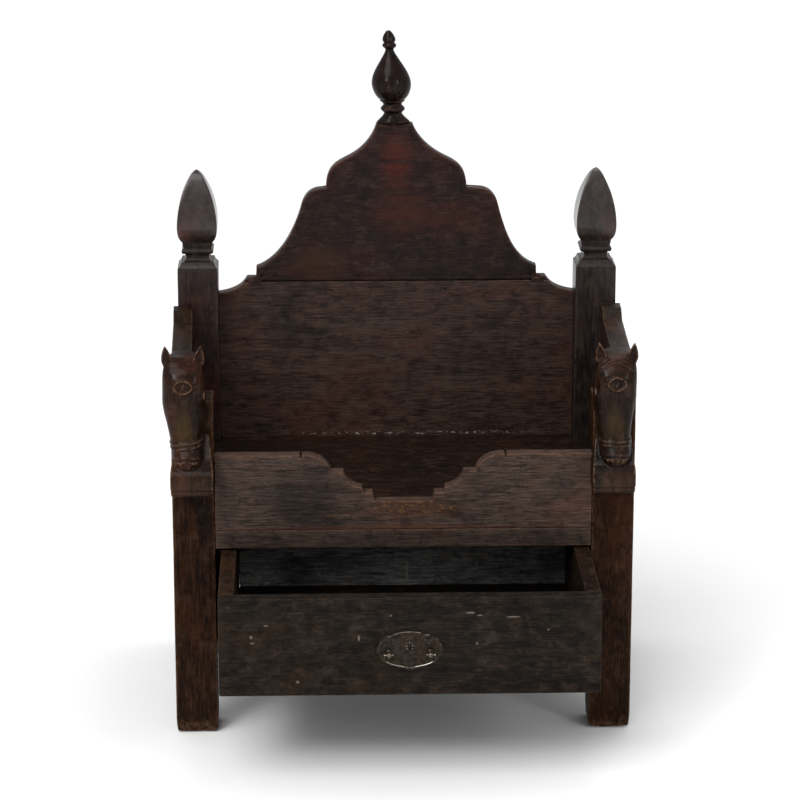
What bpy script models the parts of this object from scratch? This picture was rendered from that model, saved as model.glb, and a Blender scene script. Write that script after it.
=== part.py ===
"""A carved wooden throne with a drawer under its seat.

Metres, +Z up, and the front faces -Y. Left and right are the viewer's. The origin lies on the floor
under the middle of the whole throne, with the drawer pulled out as it stands at rest.
"""

import math

import bmesh
import bpy

# Frame
overall_width = 0.750  # across the outer faces of the legs and the posts
frame_depth = 0.443  # front face of the legs to back face of the posts
leg_side = 0.069  # square section of the legs and the posts
fit_gap = 0.0003  # between two pieces that touch
worn_arris = 0.002  # eased edges of boards and posts
foot_wear = 0.005  # rounding under the feet

# Seat and the box around the drawer
rail_underside = 0.3195
rail_height = 0.0315
rail_depth = 0.045
apron_height = 0.126
apron_thickness = 0.026
notch_half_width = 0.160
notch_depth = 0.0785
nick_depth = 0.006  # small nicks beside the notch
seat_lift = 0.012  # seat board's underside over the rail
seat_thickness = 0.024
side_thickness = 0.022
side_setback = 0.009  # side boards behind the legs' outer faces
box_back_thickness = 0.018
cleat_width = 0.020
cleat_height = 0.026
runner_width = 0.068
runner_height = 0.022

# Back panel, two planks one above the other
panel_thickness = 0.026
plank_seam_height = 0.6634
crest_height = 0.938
crest_shift = 0.006  # the crest's shoulders were cut a little to the right
crest_lean = -0.003  # its top stands a little to the left
ledge_height = 0.0075  # small ledge on each side over the seam
seam_drop = 0.020  # the lower plank's top falls this far towards the posts

# Back posts, square all the way up
post_rise = 0.075  # the posts' shoulders over the arms
neck_height = 0.052  # stepped neck between the shoulder and the bud
bud_height = 0.116
bud_half_width = 0.0340

# Finial on the crest
finial_height = 0.158
finial_radius = 0.0336
finial_foot_share = 0.845  # foot's radius as a share of the bulb's
finial_foot_depth = 0.018  # half the foot's depth, pared to the plank
finial_ledge = 0.0024  # crest's top beyond the foot on each side
finial_shift = -0.0045
finial_lean = math.radians(3.1)  # leans to the left
finial_sides = 20

# Arms and the horse heads at their ends
arm_height = 0.620
arm_section_height = 0.050
arm_thickness = 0.033
arm_outset_front = 0.016  # arm's centre line outside the leg's
arm_outset_back = 0.0255
hump_rise = 0.014
hump_length = 0.037
hump_slope = 0.030
poll_rise = 0.025  # top of the head over the arm
neck_length = 0.145  # where the arm rises to the head
bar_tuck = 0.010  # how far the arm runs into the head
head_height = 0.175
head_outset = 0.0065
block_height = 0.046
block_depth = 0.055

# Drawer
drawer_pull = 0.236  # how far the drawer stands out at rest
drawer_height = 0.1615
drawer_top_clearance = 0.0035
drawer_side_clearance = 0.0057
drawer_back_clearance = 0.007
drawer_shift = 0.0035  # it sits a little to the right
drawer_front_thickness = 0.026
drawer_side_thickness = 0.025
drawer_back_thickness = 0.016
drawer_bottom_thickness = 0.012
drawer_floor_height = 0.0435  # floor's upper face over the sides' lower edge

# Drawer handle
plate_width = 0.104
plate_height = 0.060
plate_thickness = 0.002
plate_lift = 0.0035  # its middle over the bail's pivot
handle_x = 0.0025  # its middle, a little right of the throne's
stud_spacing = 0.065
stud_radius = 0.0045
stud_reach = 0.014  # bail's pivot in front of the plate
handle_level = 0.45  # bail's pivot, as a share of the drawer's height
bail_overhang = 0.0028  # bail's arms outside the studs
bail_drop = 0.021
bail_radius = 0.0016
eye_clearance = 0.0005
bead_radius = 0.0029

# Places that follow from the sizes
half_width = overall_width / 2
opening_half = half_width - leg_side
leg_centre = half_width - leg_side / 2
handle_reach = fit_gap + plate_thickness + stud_reach + stud_radius
front_reach = max(drawer_pull + handle_reach, block_depth)
back_reach = max(frame_depth, frame_depth - panel_thickness / 2 + finial_radius)
front_face = (front_reach - back_reach) / 2
back_face = front_face + frame_depth
post_face = back_face - leg_side
leg_back = front_face + leg_side
rail_top = rail_underside + rail_height
apron_top = rail_top + apron_height
arm_underside = arm_height - arm_section_height
shoulder_height = arm_height + post_rise
panel_face = back_face - panel_thickness
plank_foot_half = 0.857 * opening_half
side_inner = half_width - side_setback - side_thickness
seat_underside = rail_top + seat_lift
seat_height = seat_underside + seat_thickness
drawer_top = rail_underside - drawer_top_clearance
drawer_underside = drawer_top - drawer_height
box_underside = drawer_underside - fit_gap - runner_height
drawer_face = front_face - drawer_pull
drawer_half = opening_half - drawer_side_clearance
drawer_length = frame_depth - box_back_thickness - drawer_back_clearance
poll_height = arm_height + poll_rise
mouth_height = poll_height - head_height
handle_height = drawer_underside + drawer_height * handle_level
plate_face = drawer_face - fit_gap - plate_thickness
pivot_y = plate_face - stud_reach
bail_width = stud_spacing + 2 * (stud_radius + bail_overhang)


def collection(name):
    group = bpy.data.collections.new(name)
    bpy.context.scene.collection.children.link(group)
    return group


def finish(name, colour, roughness, metallic=0.0):
    material = bpy.data.materials.new(name)
    material.use_nodes = True
    shader = material.node_tree.nodes["Principled BSDF"]
    shader.inputs["Base Color"].default_value = (*colour, 1.0)
    shader.inputs["Roughness"].default_value = roughness
    shader.inputs["Metallic"].default_value = metallic
    return material


def clear_scene():
    for obj in list(bpy.data.objects):
        bpy.data.objects.remove(obj, do_unlink=True)


clear_scene()
throne = collection("throne")
cutters = collection("cutters")
aged_wood = finish("aged_wood", (0.035, 0.022, 0.016), 0.45)
polished_wood = finish("polished_wood", (0.042, 0.020, 0.013), 0.32)
grey_wood = finish("grey_wood", (0.040, 0.036, 0.033), 0.60)
dark_brass = finish("dark_brass", (0.060, 0.050, 0.040), 0.40, 0.9)


def add_object(name, mesh, material, group=throne):
    obj = bpy.data.objects.new(name, mesh)
    group.objects.link(obj)
    obj.data.materials.append(material)
    return obj


def hide_helper(obj):
    obj.hide_render = True
    obj.display_type = "WIRE"


def mesh_from(name, bm):
    bm.normal_update()
    bmesh.ops.recalc_face_normals(bm, faces=bm.faces)
    mesh = bpy.data.meshes.new(name)
    bm.to_mesh(mesh)
    bm.free()
    return mesh


def ease_edges(obj, width, segments=1):
    bevel = obj.modifiers.new("eased edges", "BEVEL")
    bevel.width = width
    bevel.segments = segments
    bevel.limit_method = "ANGLE"
    bevel.angle_limit = math.radians(50)


def board(name, low, high, material, arris=worn_arris, group=throne):
    """A board between two opposite corners, with its edges eased."""
    bm = bmesh.new()
    bmesh.ops.create_cube(bm, size=1.0)
    for vert in bm.verts:
        for axis in range(3):
            middle = (low[axis] + high[axis]) / 2
            vert.co[axis] = middle + vert.co[axis] * (high[axis] - low[axis])
    obj = add_object(name, mesh_from(name, bm), material, group)
    if arris:
        ease_edges(obj, arris)
    return obj


def outline(name, points, thickness, material, arris=0.0, group=throne):
    """A flat outline in the object's own XY plane, filled and as thick as asked."""
    curve = bpy.data.curves.new(name, "CURVE")
    curve.dimensions = "2D"
    curve.fill_mode = "BOTH"
    curve.extrude = thickness / 2
    spline = curve.splines.new("POLY")
    spline.points.add(len(points) - 1)
    for point, (across, up) in zip(spline.points, points):
        point.co = (across, up, 0.0, 1.0)
    spline.use_cyclic_u = True
    obj = add_object(name, curve, material, group)
    if arris:
        weld = obj.modifiers.new("closed caps", "WELD")
        weld.merge_threshold = 0.0001
        ease_edges(obj, arris)
    return obj


def as_mesh(obj):
    """The curve object as a mesh object in the same place, its caps closed."""
    bpy.context.view_layer.update()
    graph = bpy.context.evaluated_depsgraph_get()
    mesh = bpy.data.meshes.new_from_object(obj.evaluated_get(graph))
    bm = bmesh.new()
    bm.from_mesh(mesh)
    bmesh.ops.remove_doubles(bm, verts=bm.verts, dist=0.00005)
    bm.to_mesh(mesh)
    bm.free()
    name = obj.name
    group = obj.users_collection[0]
    solid = bpy.data.objects.new(name + " solid", mesh)
    group.objects.link(solid)
    solid.matrix_world = obj.matrix_world.copy()
    bpy.data.objects.remove(obj, do_unlink=True)
    solid.name = name
    return solid


def cut(obj, cutter, operation="DIFFERENCE"):
    boolean = obj.modifiers.new(operation.lower() + " " + cutter.name, "BOOLEAN")
    boolean.operation = operation
    boolean.object = cutter
    hide_helper(cutter)


def bend(start, start_pull, end_pull, end, steps):
    """Points along a cubic curve, its end left out."""
    points = []
    for step in range(steps):
        t = step / steps
        weights = ((1 - t) ** 3, 3 * t * (1 - t) ** 2, 3 * t**2 * (1 - t), t**3)
        corners = (start, start_pull, end_pull, end)
        points.append(tuple(sum(w * c[i] for w, c in zip(weights, corners)) for i in (0, 1)))
    return points


def smooth(obj):
    obj.data.shade_smooth()
    obj.data.set_sharp_from_angle(angle=math.radians(35))


# Front legs
def front_leg(side):
    name = "front_leg_left" if side < 0 else "front_leg_right"
    inner = side * opening_half
    outer = side * half_width
    low = (min(inner, outer), front_face, 0.0)
    high = (max(inner, outer), leg_back, arm_underside - fit_gap)
    return board(name, low, high, aged_wood)


# Back posts, each with a bud on a stepped neck, all one square timber
def back_post(side):
    """The square timber is a profile turned in four steps, so a half width is a radius over root two."""
    name = "back_post_left" if side < 0 else "back_post_right"
    half = leg_side / 2
    neck_top = shoulder_height + neck_height
    neck_levels = (
        (1.000, 0.745),
        (0.860, 0.730),
        (0.820, 0.690),
        (0.760, 0.690),
        (0.710, 0.780),
        (0.610, 0.780),
        (0.570, 0.620),
        (0.430, 0.580),
        (0.330, 0.610),
        (0.270, 0.740),
        (0.265, 0.800),
        (0.130, 0.880),
        (0.050, 0.960),
        (0.045, 0.990),
    )
    bud_levels = (
        (1.000, 0.06),
        (0.985, 0.12),
        (0.940, 0.27),
        (0.870, 0.42),
        (0.790, 0.56),
        (0.690, 0.71),
        (0.580, 0.83),
        (0.460, 0.925),
        (0.330, 0.985),
        (0.200, 1.000),
        (0.110, 0.960),
        (0.045, 0.870),
    )
    profile = [(0.0, neck_top + bud_height)]
    profile += [(bud_half_width * w, neck_top + bud_height * h) for h, w in bud_levels]
    profile += [(half * w, shoulder_height + neck_height * h) for h, w in neck_levels]
    profile += [(half, shoulder_height), (half, foot_wear), (half - foot_wear, 0.0), (0.0, 0.0)]
    bm = bmesh.new()
    corners = [bm.verts.new((radius * math.sqrt(2), 0.0, height)) for radius, height in profile]
    for upper, lower in zip(corners, corners[1:]):
        bm.edges.new((upper, lower))
    mesh = bpy.data.meshes.new(name)
    bm.to_mesh(mesh)
    bm.free()
    obj = add_object(name, mesh, aged_wood)
    screw = obj.modifiers.new("four sides", "SCREW")
    screw.steps = 4
    screw.render_steps = 4
    screw.use_merge_vertices = True
    screw.merge_threshold = 0.0001
    screw.use_smooth_shade = False
    obj.location = (side * leg_centre, back_face - half, 0.0)
    obj.rotation_euler.z = math.radians(45)
    return obj


# Back panel
def crest_points(side):
    """The upper plank's edge on one side, from the top of the crest down to the seam.

    Across is a share of half the opening between the posts, and down a share of the plank's height.
    """
    plank_height = crest_height - plank_seam_height

    def at(across, down, shift=0.0):
        return (side * opening_half * across + shift, crest_height - plank_height * down)

    def past(point, across, down):
        return (point[0] + side * opening_half * across, point[1] - plank_height * down)

    top = (side * (finial_foot_share * finial_radius + finial_ledge) + crest_lean, crest_height)
    ogee_end = at(0.268, 0.206)
    lobe_end = at(0.394, 0.401)
    step_end = at(0.438, 0.406, crest_shift)
    shoulder_end = at(0.549, 0.503, crest_shift)
    sweep_end = at(0.788, 0.907)
    points = bend(top, past(top, 0.020, 0.069), past(ogee_end, -0.098, -0.056), ogee_end, 7)
    points += bend(
        ogee_end, past(ogee_end, 0.072, 0.040), past(lobe_end, -0.002, -0.124), lobe_end, 7
    )
    points += [lobe_end]
    points += bend(
        step_end, past(step_end, 0.065, 0.0), past(shoulder_end, -0.013, -0.047), shoulder_end, 5
    )
    points += bend(
        shoulder_end,
        past(shoulder_end, 0.036, 0.153),
        past(sweep_end, -0.137, -0.047),
        sweep_end,
        9,
    )
    points += [
        sweep_end,
        (side * opening_half * 0.791, plank_seam_height + ledge_height),
        (side * opening_half * 0.840, plank_seam_height + ledge_height),
        (side * plank_foot_half, plank_seam_height + fit_gap / 2),
    ]
    return points


def upper_plank():
    left = crest_points(-1)
    right = crest_points(1)
    obj = outline(
        "back_panel_upper",
        right + left[::-1],
        panel_thickness,
        polished_wood,
        worn_arris,
    )
    obj.rotation_euler.x = math.radians(90)
    obj.location.y = back_face - panel_thickness / 2
    return obj


def lower_plank():
    reach = opening_half - fit_gap
    top = plank_seam_height - fit_gap / 2
    post_meet = plank_seam_height - seam_drop
    points = []
    for side in (1, -1):
        edge = bend(
            (side * plank_foot_half, top),
            (side * opening_half * 0.882, top - seam_drop * 0.55),
            (side * opening_half * 0.941, post_meet + seam_drop * 0.10),
            (side * reach, post_meet),
            5,
        )
        edge += [(side * reach, post_meet), (side * reach, rail_top)]
        points += edge if side > 0 else edge[::-1]
    obj = outline("back_panel_lower", points, panel_thickness, polished_wood)
    obj.rotation_euler.x = math.radians(90)
    obj.location.y = back_face - panel_thickness / 2
    return obj


# Finial, turned from one piece and pared at its foot to the plank it stands on
def finial():
    levels = (
        (1.000, 0.10),
        (0.985, 0.14),
        (0.955, 0.25),
        (0.907, 0.33),
        (0.880, 0.31),
        (0.868, 0.27),
        (0.852, 0.33),
        (0.838, 0.355),
        (0.820, 0.31),
        (0.795, 0.215),
        (0.760, 0.270),
        (0.710, 0.405),
        (0.625, 0.650),
        (0.540, 0.870),
        (0.480, 0.965),
        (0.422, 1.000),
        (0.360, 0.950),
        (0.310, 0.850),
        (0.265, 0.690),
        (0.252, 0.640),
        (0.238, 0.640),
        (0.232, 0.560),
        (0.200, 0.475),
        (0.180, 0.545),
        (0.165, 0.610),
        (0.145, 0.610),
        (0.128, 0.545),
        (0.105, 0.460),
        (0.070, 0.570),
        (0.025, 0.800),
        (0.012, finial_foot_share),
        (0.000, finial_foot_share),
    )
    skirt_top = 0.105 * finial_height
    foot_radius = finial_foot_share * finial_radius
    bm = bmesh.new()
    profile = [bm.verts.new((0.0, 0.0, finial_height))]
    profile += [bm.verts.new((finial_radius * r, 0.0, finial_height * h)) for h, r in levels]
    profile += [bm.verts.new((0.0, 0.0, 0.0))]
    edges = [bm.edges.new(pair) for pair in zip(profile, profile[1:])]
    bmesh.ops.spin(
        bm,
        geom=profile + edges,
        cent=(0, 0, 0),
        axis=(0, 0, 1),
        angle=2 * math.pi,
        steps=finial_sides,
        use_merge=True,
    )
    bmesh.ops.remove_doubles(bm, verts=bm.verts, dist=0.00002)
    for vert in bm.verts:
        if vert.co.z < skirt_top:
            share = 1 - vert.co.z / skirt_top
            vert.co.y *= 1 - share * (1 - finial_foot_depth / foot_radius)
        vert.co.x -= vert.co.z * math.tan(finial_lean)
    obj = add_object("crest_finial", mesh_from("crest_finial", bm), polished_wood)
    obj.location = (finial_shift, back_face - panel_thickness / 2, crest_height + fit_gap)
    smooth(obj)
    return obj


# Arms, each carved from one piece with a horse head that hangs in front of the leg
def arm_bar(side, name):
    """The arm from the side: a hump at the post, a level top, and a neck that rises to the head."""
    front = front_face - bar_tuck
    back = post_face - fit_gap
    length = back - front
    hump_top = arm_height + hump_rise
    neck_foot = front + neck_length
    nape = (front + 0.083 * neck_length, poll_height - 0.16 * poll_rise)
    points = [
        (back, arm_underside),
        (back, hump_top - 2 * worn_arris),
        (back - 2 * worn_arris, hump_top),
        (back - hump_length, hump_top),
        (back - hump_length - hump_slope, arm_height),
    ]
    points += bend(
        (neck_foot, arm_height),
        (neck_foot - 0.345 * neck_length, arm_height),
        (front + 0.414 * neck_length, poll_height - 0.08 * poll_rise),
        nape,
        6,
    )
    points += [nape, (front, poll_height - 0.80 * poll_rise), (front, arm_underside)]
    obj = outline(name, points, arm_thickness, polished_wood)
    slant = math.atan2(arm_outset_back - arm_outset_front, length)
    obj.location.x = side * (leg_centre + arm_outset_front)
    obj.location.y = front
    for point in obj.data.splines[0].points:
        point.co.x -= front
    obj.rotation_euler = (math.radians(90), 0.0, math.radians(90) - side * slant)
    return as_mesh(obj)


def ring_loft(name, rings):
    """A closed skin over rings of as many points each, the first and last ring filled."""
    bm = bmesh.new()
    loops = [[bm.verts.new(point) for point in ring] for ring in rings]
    count = len(loops[0])
    for lower, upper in zip(loops, loops[1:]):
        for i in range(count):
            j = (i + 1) % count
            bm.faces.new((lower[i], lower[j], upper[j], upper[i]))
    bm.faces.new(loops[0])
    bm.faces.new(loops[-1])
    return mesh_from(name, bm)


def head_rings(side):
    """Level sections of the head, from the mouth to the poll, as shares of its height.

    Each row is the height, how far the front stands out, and half the width.
    """
    rows = (
        (0.000, 0.200, 0.090),
        (0.023, 0.265, 0.132),
        (0.069, 0.300, 0.150),
        (0.143, 0.278, 0.148),
        (0.200, 0.246, 0.150),
        (0.206, 0.256, 0.160),
        (0.224, 0.254, 0.160),
        (0.231, 0.238, 0.150),
        (0.238, 0.248, 0.160),
        (0.256, 0.244, 0.160),
        (0.262, 0.226, 0.152),
        (0.380, 0.204, 0.162),
        (0.500, 0.198, 0.173),
        (0.629, 0.214, 0.186),
        (0.743, 0.217, 0.190),
        (0.830, 0.196, 0.188),
        (0.914, 0.143, 0.176),
        (0.970, 0.080, 0.150),
        (1.000, -0.020, 0.100),
    )
    squareness = 0.80
    points_round = 16
    rings = []
    for height, depth, half in rows:
        z = mouth_height + head_height * height
        back = front_face + head_height * (0.229 if height > 0.5 else 0.069)
        front = front_face - head_height * depth
        middle = (front + back) / 2
        reach = (back - front) / 2
        centre = side * (leg_centre + head_outset * (0.4 + 0.6 * height))
        ring = []
        for i in range(points_round):
            angle = 2 * math.pi * i / points_round
            across = math.copysign(abs(math.sin(angle)) ** squareness, math.sin(angle))
            along = math.copysign(abs(math.cos(angle)) ** squareness, math.cos(angle))
            ring.append((centre + head_height * half * across, middle - reach * along, z))
        rings.append(ring)
    return rings


def ear(side, outward, name):
    """A pointed leaf of an ear, leaning out from the poll."""
    length = 0.263 * head_height
    lean = 0.10
    flatness = 0.62
    root_height = poll_height - 0.131 * head_height
    root_y = front_face - 0.057 * head_height
    root_x = side * (leg_centre + head_outset) + outward * 0.129 * head_height
    bm = bmesh.new()
    bmesh.ops.create_cone(
        bm,
        cap_ends=True,
        segments=8,
        radius1=0.060 * head_height,
        radius2=0.007 * head_height,
        depth=length,
    )
    for vert in bm.verts:
        up = vert.co.z + length / 2
        vert.co.x += root_x + outward * lean * up
        vert.co.y = root_y + vert.co.y * flatness + lean * up
        vert.co.z = root_height + up
    return add_object(name, mesh_from(name, bm), polished_wood, cutters)


def brow_boss(side, name):
    """The oval ring with a slit bead that stands on the forehead."""
    flatness = 0.85
    centre = side * (leg_centre + head_outset * 0.85)
    middle_y = front_face - 0.206 * head_height
    middle_height = poll_height - 0.243 * head_height
    bm = bmesh.new()
    bmesh.ops.create_cone(
        bm,
        cap_ends=True,
        segments=14,
        radius1=0.074 * head_height,
        radius2=0.056 * head_height,
        depth=0.057 * head_height,
    )
    for vert in bm.verts:
        outwards = vert.co.z
        up = vert.co.y
        vert.co = (centre + vert.co.x, middle_y - outwards, middle_height + up * flatness)
    return add_object(name, mesh_from(name, bm), polished_wood, cutters)


def side_eye(side, outward, name):
    bm = bmesh.new()
    bmesh.ops.create_icosphere(bm, subdivisions=1, radius=0.049 * head_height)
    centre = side * (leg_centre + head_outset * 0.8) + outward * head_height * 0.165
    for vert in bm.verts:
        vert.co.x = centre + vert.co.x * 0.75
        vert.co.y += front_face - 0.103 * head_height
        vert.co.z += poll_height - 0.343 * head_height
    return add_object(name, mesh_from(name, bm), polished_wood, cutters)


def head_block(side, name):
    """The bracket under the muzzle, which flares down from behind it.

    Each level is its height over the bottom, its depth and its width, as shares of the block's own.
    """
    levels = (
        (0.00, 0.890, 0.913),
        (0.09, 1.000, 1.000),
        (0.78, 0.964, 1.000),
        (1.00, 0.818, 0.971),
        (1.26, 0.545, 0.942),
        (1.74, 0.255, 0.855),
        (2.00, 0.073, 0.768),
    )
    back = front_face + worn_arris
    rings = []
    for height, depth, width in levels:
        z = mouth_height - block_height + block_height * height
        left = side * leg_centre - width * leg_side / 2
        right = side * leg_centre + width * leg_side / 2
        front = front_face - block_depth * depth
        rings.append([(left, back, z), (left, front, z), (right, front, z), (right, back, z)])
    return add_object(name, ring_loft(name, rings), polished_wood, cutters)


def arm(side):
    hand = "left" if side < 0 else "right"
    bar = arm_bar(side, "arm_" + hand)
    head = add_object(
        "head " + hand, ring_loft("head " + hand, head_rings(side)), polished_wood, cutters
    )
    cut(bar, head, "UNION")
    cut(bar, head_block(side, "block " + hand), "UNION")
    for outward in (-1, 1):
        label = hand + (" outer" if outward == side else " inner")
        cut(bar, ear(side, outward, "ear " + label), "UNION")
        cut(bar, side_eye(side, outward, "eye " + label), "UNION")
    cut(bar, brow_boss(side, "boss " + hand), "UNION")
    leg_room = board(
        "leg room " + hand,
        (side * leg_centre - leg_side, front_face - fit_gap, seat_underside),
        (side * leg_centre + leg_side, post_face - leg_side, arm_underside),
        polished_wood,
        0.0,
        cutters,
    )
    cut(bar, leg_room)
    return bar


# Boards at the sides, the seat, and the box around the drawer
def side_boards(side):
    hand = "left" if side < 0 else "right"
    inner = side * side_inner
    outer = side * (half_width - side_setback)
    low_x = min(inner, outer)
    high_x = max(inner, outer)
    low_y = leg_back + fit_gap
    high_y = post_face - fit_gap
    board(
        "side_panel_" + hand,
        (low_x, low_y, rail_top + fit_gap / 2),
        (high_x, high_y, arm_underside - fit_gap),
        aged_wood,
    )
    board(
        "box_side_" + hand,
        (low_x, low_y, box_underside),
        (high_x, high_y, rail_top - fit_gap / 2),
        aged_wood,
    )
    cleat_outer = side * (side_inner - fit_gap)
    cleat_inner = side * (side_inner - fit_gap - cleat_width)
    board(
        "seat_cleat_" + hand,
        (min(cleat_outer, cleat_inner), low_y, seat_underside - fit_gap - cleat_height),
        (max(cleat_outer, cleat_inner), high_y, seat_underside - fit_gap),
        aged_wood,
        0.0,
    )
    runner_inner = side * (side_inner - fit_gap - runner_width)
    board(
        "drawer_runner_" + hand,
        (min(cleat_outer, runner_inner), low_y, drawer_underside - fit_gap - runner_height),
        (max(cleat_outer, runner_inner), high_y, drawer_underside - fit_gap),
        aged_wood,
        0.0,
    )


def seat():
    """The seat board, notched round the legs and the posts."""
    wide = side_inner - fit_gap
    narrow = opening_half - fit_gap
    front = front_face + apron_thickness + fit_gap
    back = panel_face - fit_gap
    right = [
        (narrow, front),
        (narrow, leg_back + fit_gap),
        (wide, leg_back + fit_gap),
        (wide, post_face - fit_gap),
        (narrow, post_face - fit_gap),
        (narrow, back),
    ]
    left = [(-across, along) for across, along in reversed(right)]
    obj = outline("seat_board", right + left, seat_thickness, aged_wood)
    obj.location.z = seat_height - seat_thickness / 2
    return obj


def apron():
    """The apron over the rail, with a stepped and lobed notch cut down to the seat."""
    reach = opening_half - fit_gap
    nick_x = notch_half_width + nick_depth

    def at(across, down):
        return (notch_half_width * across, apron_top - notch_depth * down)

    half = [
        (reach, rail_top + fit_gap),
        (reach, apron_top),
        (nick_x + nick_depth / 3, apron_top),
        (nick_x, apron_top - nick_depth),
        (nick_x - nick_depth / 3, apron_top - nick_depth / 6),
    ]
    half += bend(at(1.000, 0.000), at(0.863, 0.000), at(0.744, 0.166), at(0.731, 0.357), 6)
    half += [at(0.731, 0.357), at(0.728, 0.363)]
    half += bend(at(0.609, 0.363), at(0.588, 0.554), at(0.525, 0.669), at(0.419, 0.707), 6)
    half += [at(0.419, 0.707), at(0.409, 0.815), at(0.3125, 0.815), at(0.294, 1.000)]
    mirrored = [(-across, up) for across, up in reversed(half)]
    obj = outline("front_apron", half + mirrored, apron_thickness, grey_wood, 0.0012)
    obj.rotation_euler.x = math.radians(90)
    obj.location.y = front_face + apron_thickness / 2
    return obj


def box_boards():
    reach = opening_half - fit_gap
    board(
        "front_rail",
        (-reach, front_face, rail_underside),
        (reach, front_face + rail_depth, rail_top),
        grey_wood,
    )
    board(
        "box_back",
        (-reach, back_face - box_back_thickness, box_underside),
        (reach, back_face, rail_top - fit_gap),
        aged_wood,
        0.0,
    )


# Drawer
def drawer():
    left = drawer_shift - drawer_half
    right = drawer_shift + drawer_half
    side_start = drawer_face + drawer_front_thickness + fit_gap
    back_end = drawer_face + drawer_length
    board(
        "drawer_front",
        (left, drawer_face, drawer_underside),
        (right, drawer_face + drawer_front_thickness, drawer_top),
        grey_wood,
    )
    board(
        "drawer_side_left",
        (left, side_start, drawer_underside),
        (left + drawer_side_thickness, back_end, drawer_top),
        aged_wood,
        0.001,
    )
    board(
        "drawer_side_right",
        (right - drawer_side_thickness, side_start, drawer_underside),
        (right, back_end, drawer_top),
        aged_wood,
        0.001,
    )
    inner_left = left + drawer_side_thickness + fit_gap
    inner_right = right - drawer_side_thickness - fit_gap
    back_start = back_end - drawer_back_thickness
    board(
        "drawer_back",
        (inner_left, back_start, drawer_underside),
        (inner_right, back_end, drawer_top),
        aged_wood,
        0.001,
    )
    floor_top = drawer_underside + drawer_floor_height
    board(
        "drawer_bottom",
        (inner_left, side_start, floor_top - drawer_bottom_thickness),
        (inner_right, back_start - fit_gap, floor_top),
        aged_wood,
        0.0,
    )


# Handle: a scalloped plate, two studs with eyes, and a bail that swings in them
def backplate():
    lobes = 12
    lobe_depth = 0.035
    points_round = 96
    squareness = 0.86
    points = []
    for i in range(points_round):
        angle = 2 * math.pi * i / points_round
        swell = 1 - lobe_depth * abs(math.sin(lobes * angle / 2))
        across = math.copysign(abs(math.cos(angle)) ** squareness, math.cos(angle))
        up = math.copysign(abs(math.sin(angle)) ** squareness, math.sin(angle))
        points.append((plate_width / 2 * swell * across, plate_height / 2 * swell * up))
    obj = outline("handle_backplate", points, plate_thickness, dark_brass)
    obj.rotation_euler.x = math.radians(90)
    obj.location = (handle_x, plate_face + plate_thickness / 2, handle_height + plate_lift)
    return obj


def stud(side):
    """A turned stud that stands out of the plate, with an eye bored through its ball."""
    name = "handle_stud_left" if side < 0 else "handle_stud_right"
    ball = stud_radius
    reach = stud_reach - fit_gap
    eye_radius = bail_radius + eye_clearance
    profile = [(0.0, reach + ball)]
    for step in range(1, 6):
        angle = math.pi * step / 7
        profile.append((ball * math.sin(angle), reach + ball * math.cos(angle)))
    profile += [
        (ball * 0.55, reach - ball * 0.95),
        (ball * 0.50, ball * 0.78),
        (ball * 1.15, ball * 0.33),
        (ball * 1.15, 0.0),
        (0.0, 0.0),
    ]
    bm = bmesh.new()
    corners = [bm.verts.new((radius, 0.0, height)) for radius, height in profile]
    edges = [bm.edges.new(pair) for pair in zip(corners, corners[1:])]
    bmesh.ops.spin(
        bm,
        geom=corners + edges,
        cent=(0, 0, 0),
        axis=(0, 0, 1),
        angle=2 * math.pi,
        steps=12,
        use_merge=True,
    )
    bmesh.ops.remove_doubles(bm, verts=bm.verts, dist=0.00002)
    for vert in bm.verts:
        outwards = vert.co.z
        up = vert.co.y
        vert.co.y = plate_face - fit_gap - outwards
        vert.co.z = handle_height + up
        vert.co.x += handle_x + side * stud_spacing / 2
    obj = add_object(name, mesh_from(name, bm), dark_brass)
    smooth(obj)
    bore = bmesh.new()
    bmesh.ops.create_cone(
        bore,
        cap_ends=True,
        segments=12,
        radius1=eye_radius,
        radius2=eye_radius,
        depth=ball * 4,
    )
    for vert in bore.verts:
        along = vert.co.z
        vert.co = (
            handle_x + side * stud_spacing / 2 + along,
            pivot_y + vert.co.y,
            handle_height + vert.co.x,
        )
    cutter = add_object("eye bore " + name, mesh_from("eye bore", bore), dark_brass, cutters)
    cut(obj, cutter)
    return obj


def bail():
    """The swinging handle: two pins through the studs' eyes, a flat bow, and a double bead."""
    half = bail_width / 2
    corner = 1.25 * bail_radius
    pin_end = stud_spacing / 2 - stud_radius - corner
    quarter = [(-pin_end, 0.0), (-half + corner, 0.0), (-half, -corner)]
    quarter += bend(
        (-half, -bail_drop * 0.22),
        (-half * 0.975, -bail_drop * 0.62),
        (-half * 0.700, -bail_drop * 0.82),
        (0.0, -bail_drop),
        8,
    )
    points = quarter + [(0.0, -bail_drop)] + [(-across, up) for across, up in reversed(quarter)]
    curve = bpy.data.curves.new("handle_bail", "CURVE")
    curve.dimensions = "3D"
    curve.bevel_depth = bail_radius
    curve.bevel_resolution = 2
    curve.use_fill_caps = True
    spline = curve.splines.new("POLY")
    spline.points.add(len(points) - 1)
    for point, (across, up) in zip(spline.points, points):
        point.co = (across, 0.0, up, 1.0)
    obj = add_object("handle_bail", curve, dark_brass)
    obj.location = (handle_x, pivot_y, handle_height)
    obj = as_mesh(obj)
    beads = bmesh.new()
    for side in (-1, 1):
        found = bmesh.ops.create_uvsphere(beads, u_segments=10, v_segments=6, radius=bead_radius)
        for vert in found["verts"]:
            vert.co.x += handle_x + side * bead_radius * 1.15
            vert.co.y += pivot_y
            vert.co.z += handle_height - bail_drop
    cut(obj, add_object("beads", mesh_from("beads", beads), dark_brass, cutters), "UNION")
    return obj


for side in (-1, 1):
    front_leg(side)
    back_post(side)
    arm(side)
    side_boards(side)
    stud(side)
upper_plank()
lower_plank()
finial()
seat()
apron()
box_boards()
drawer()
backplate()
bail()
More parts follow.
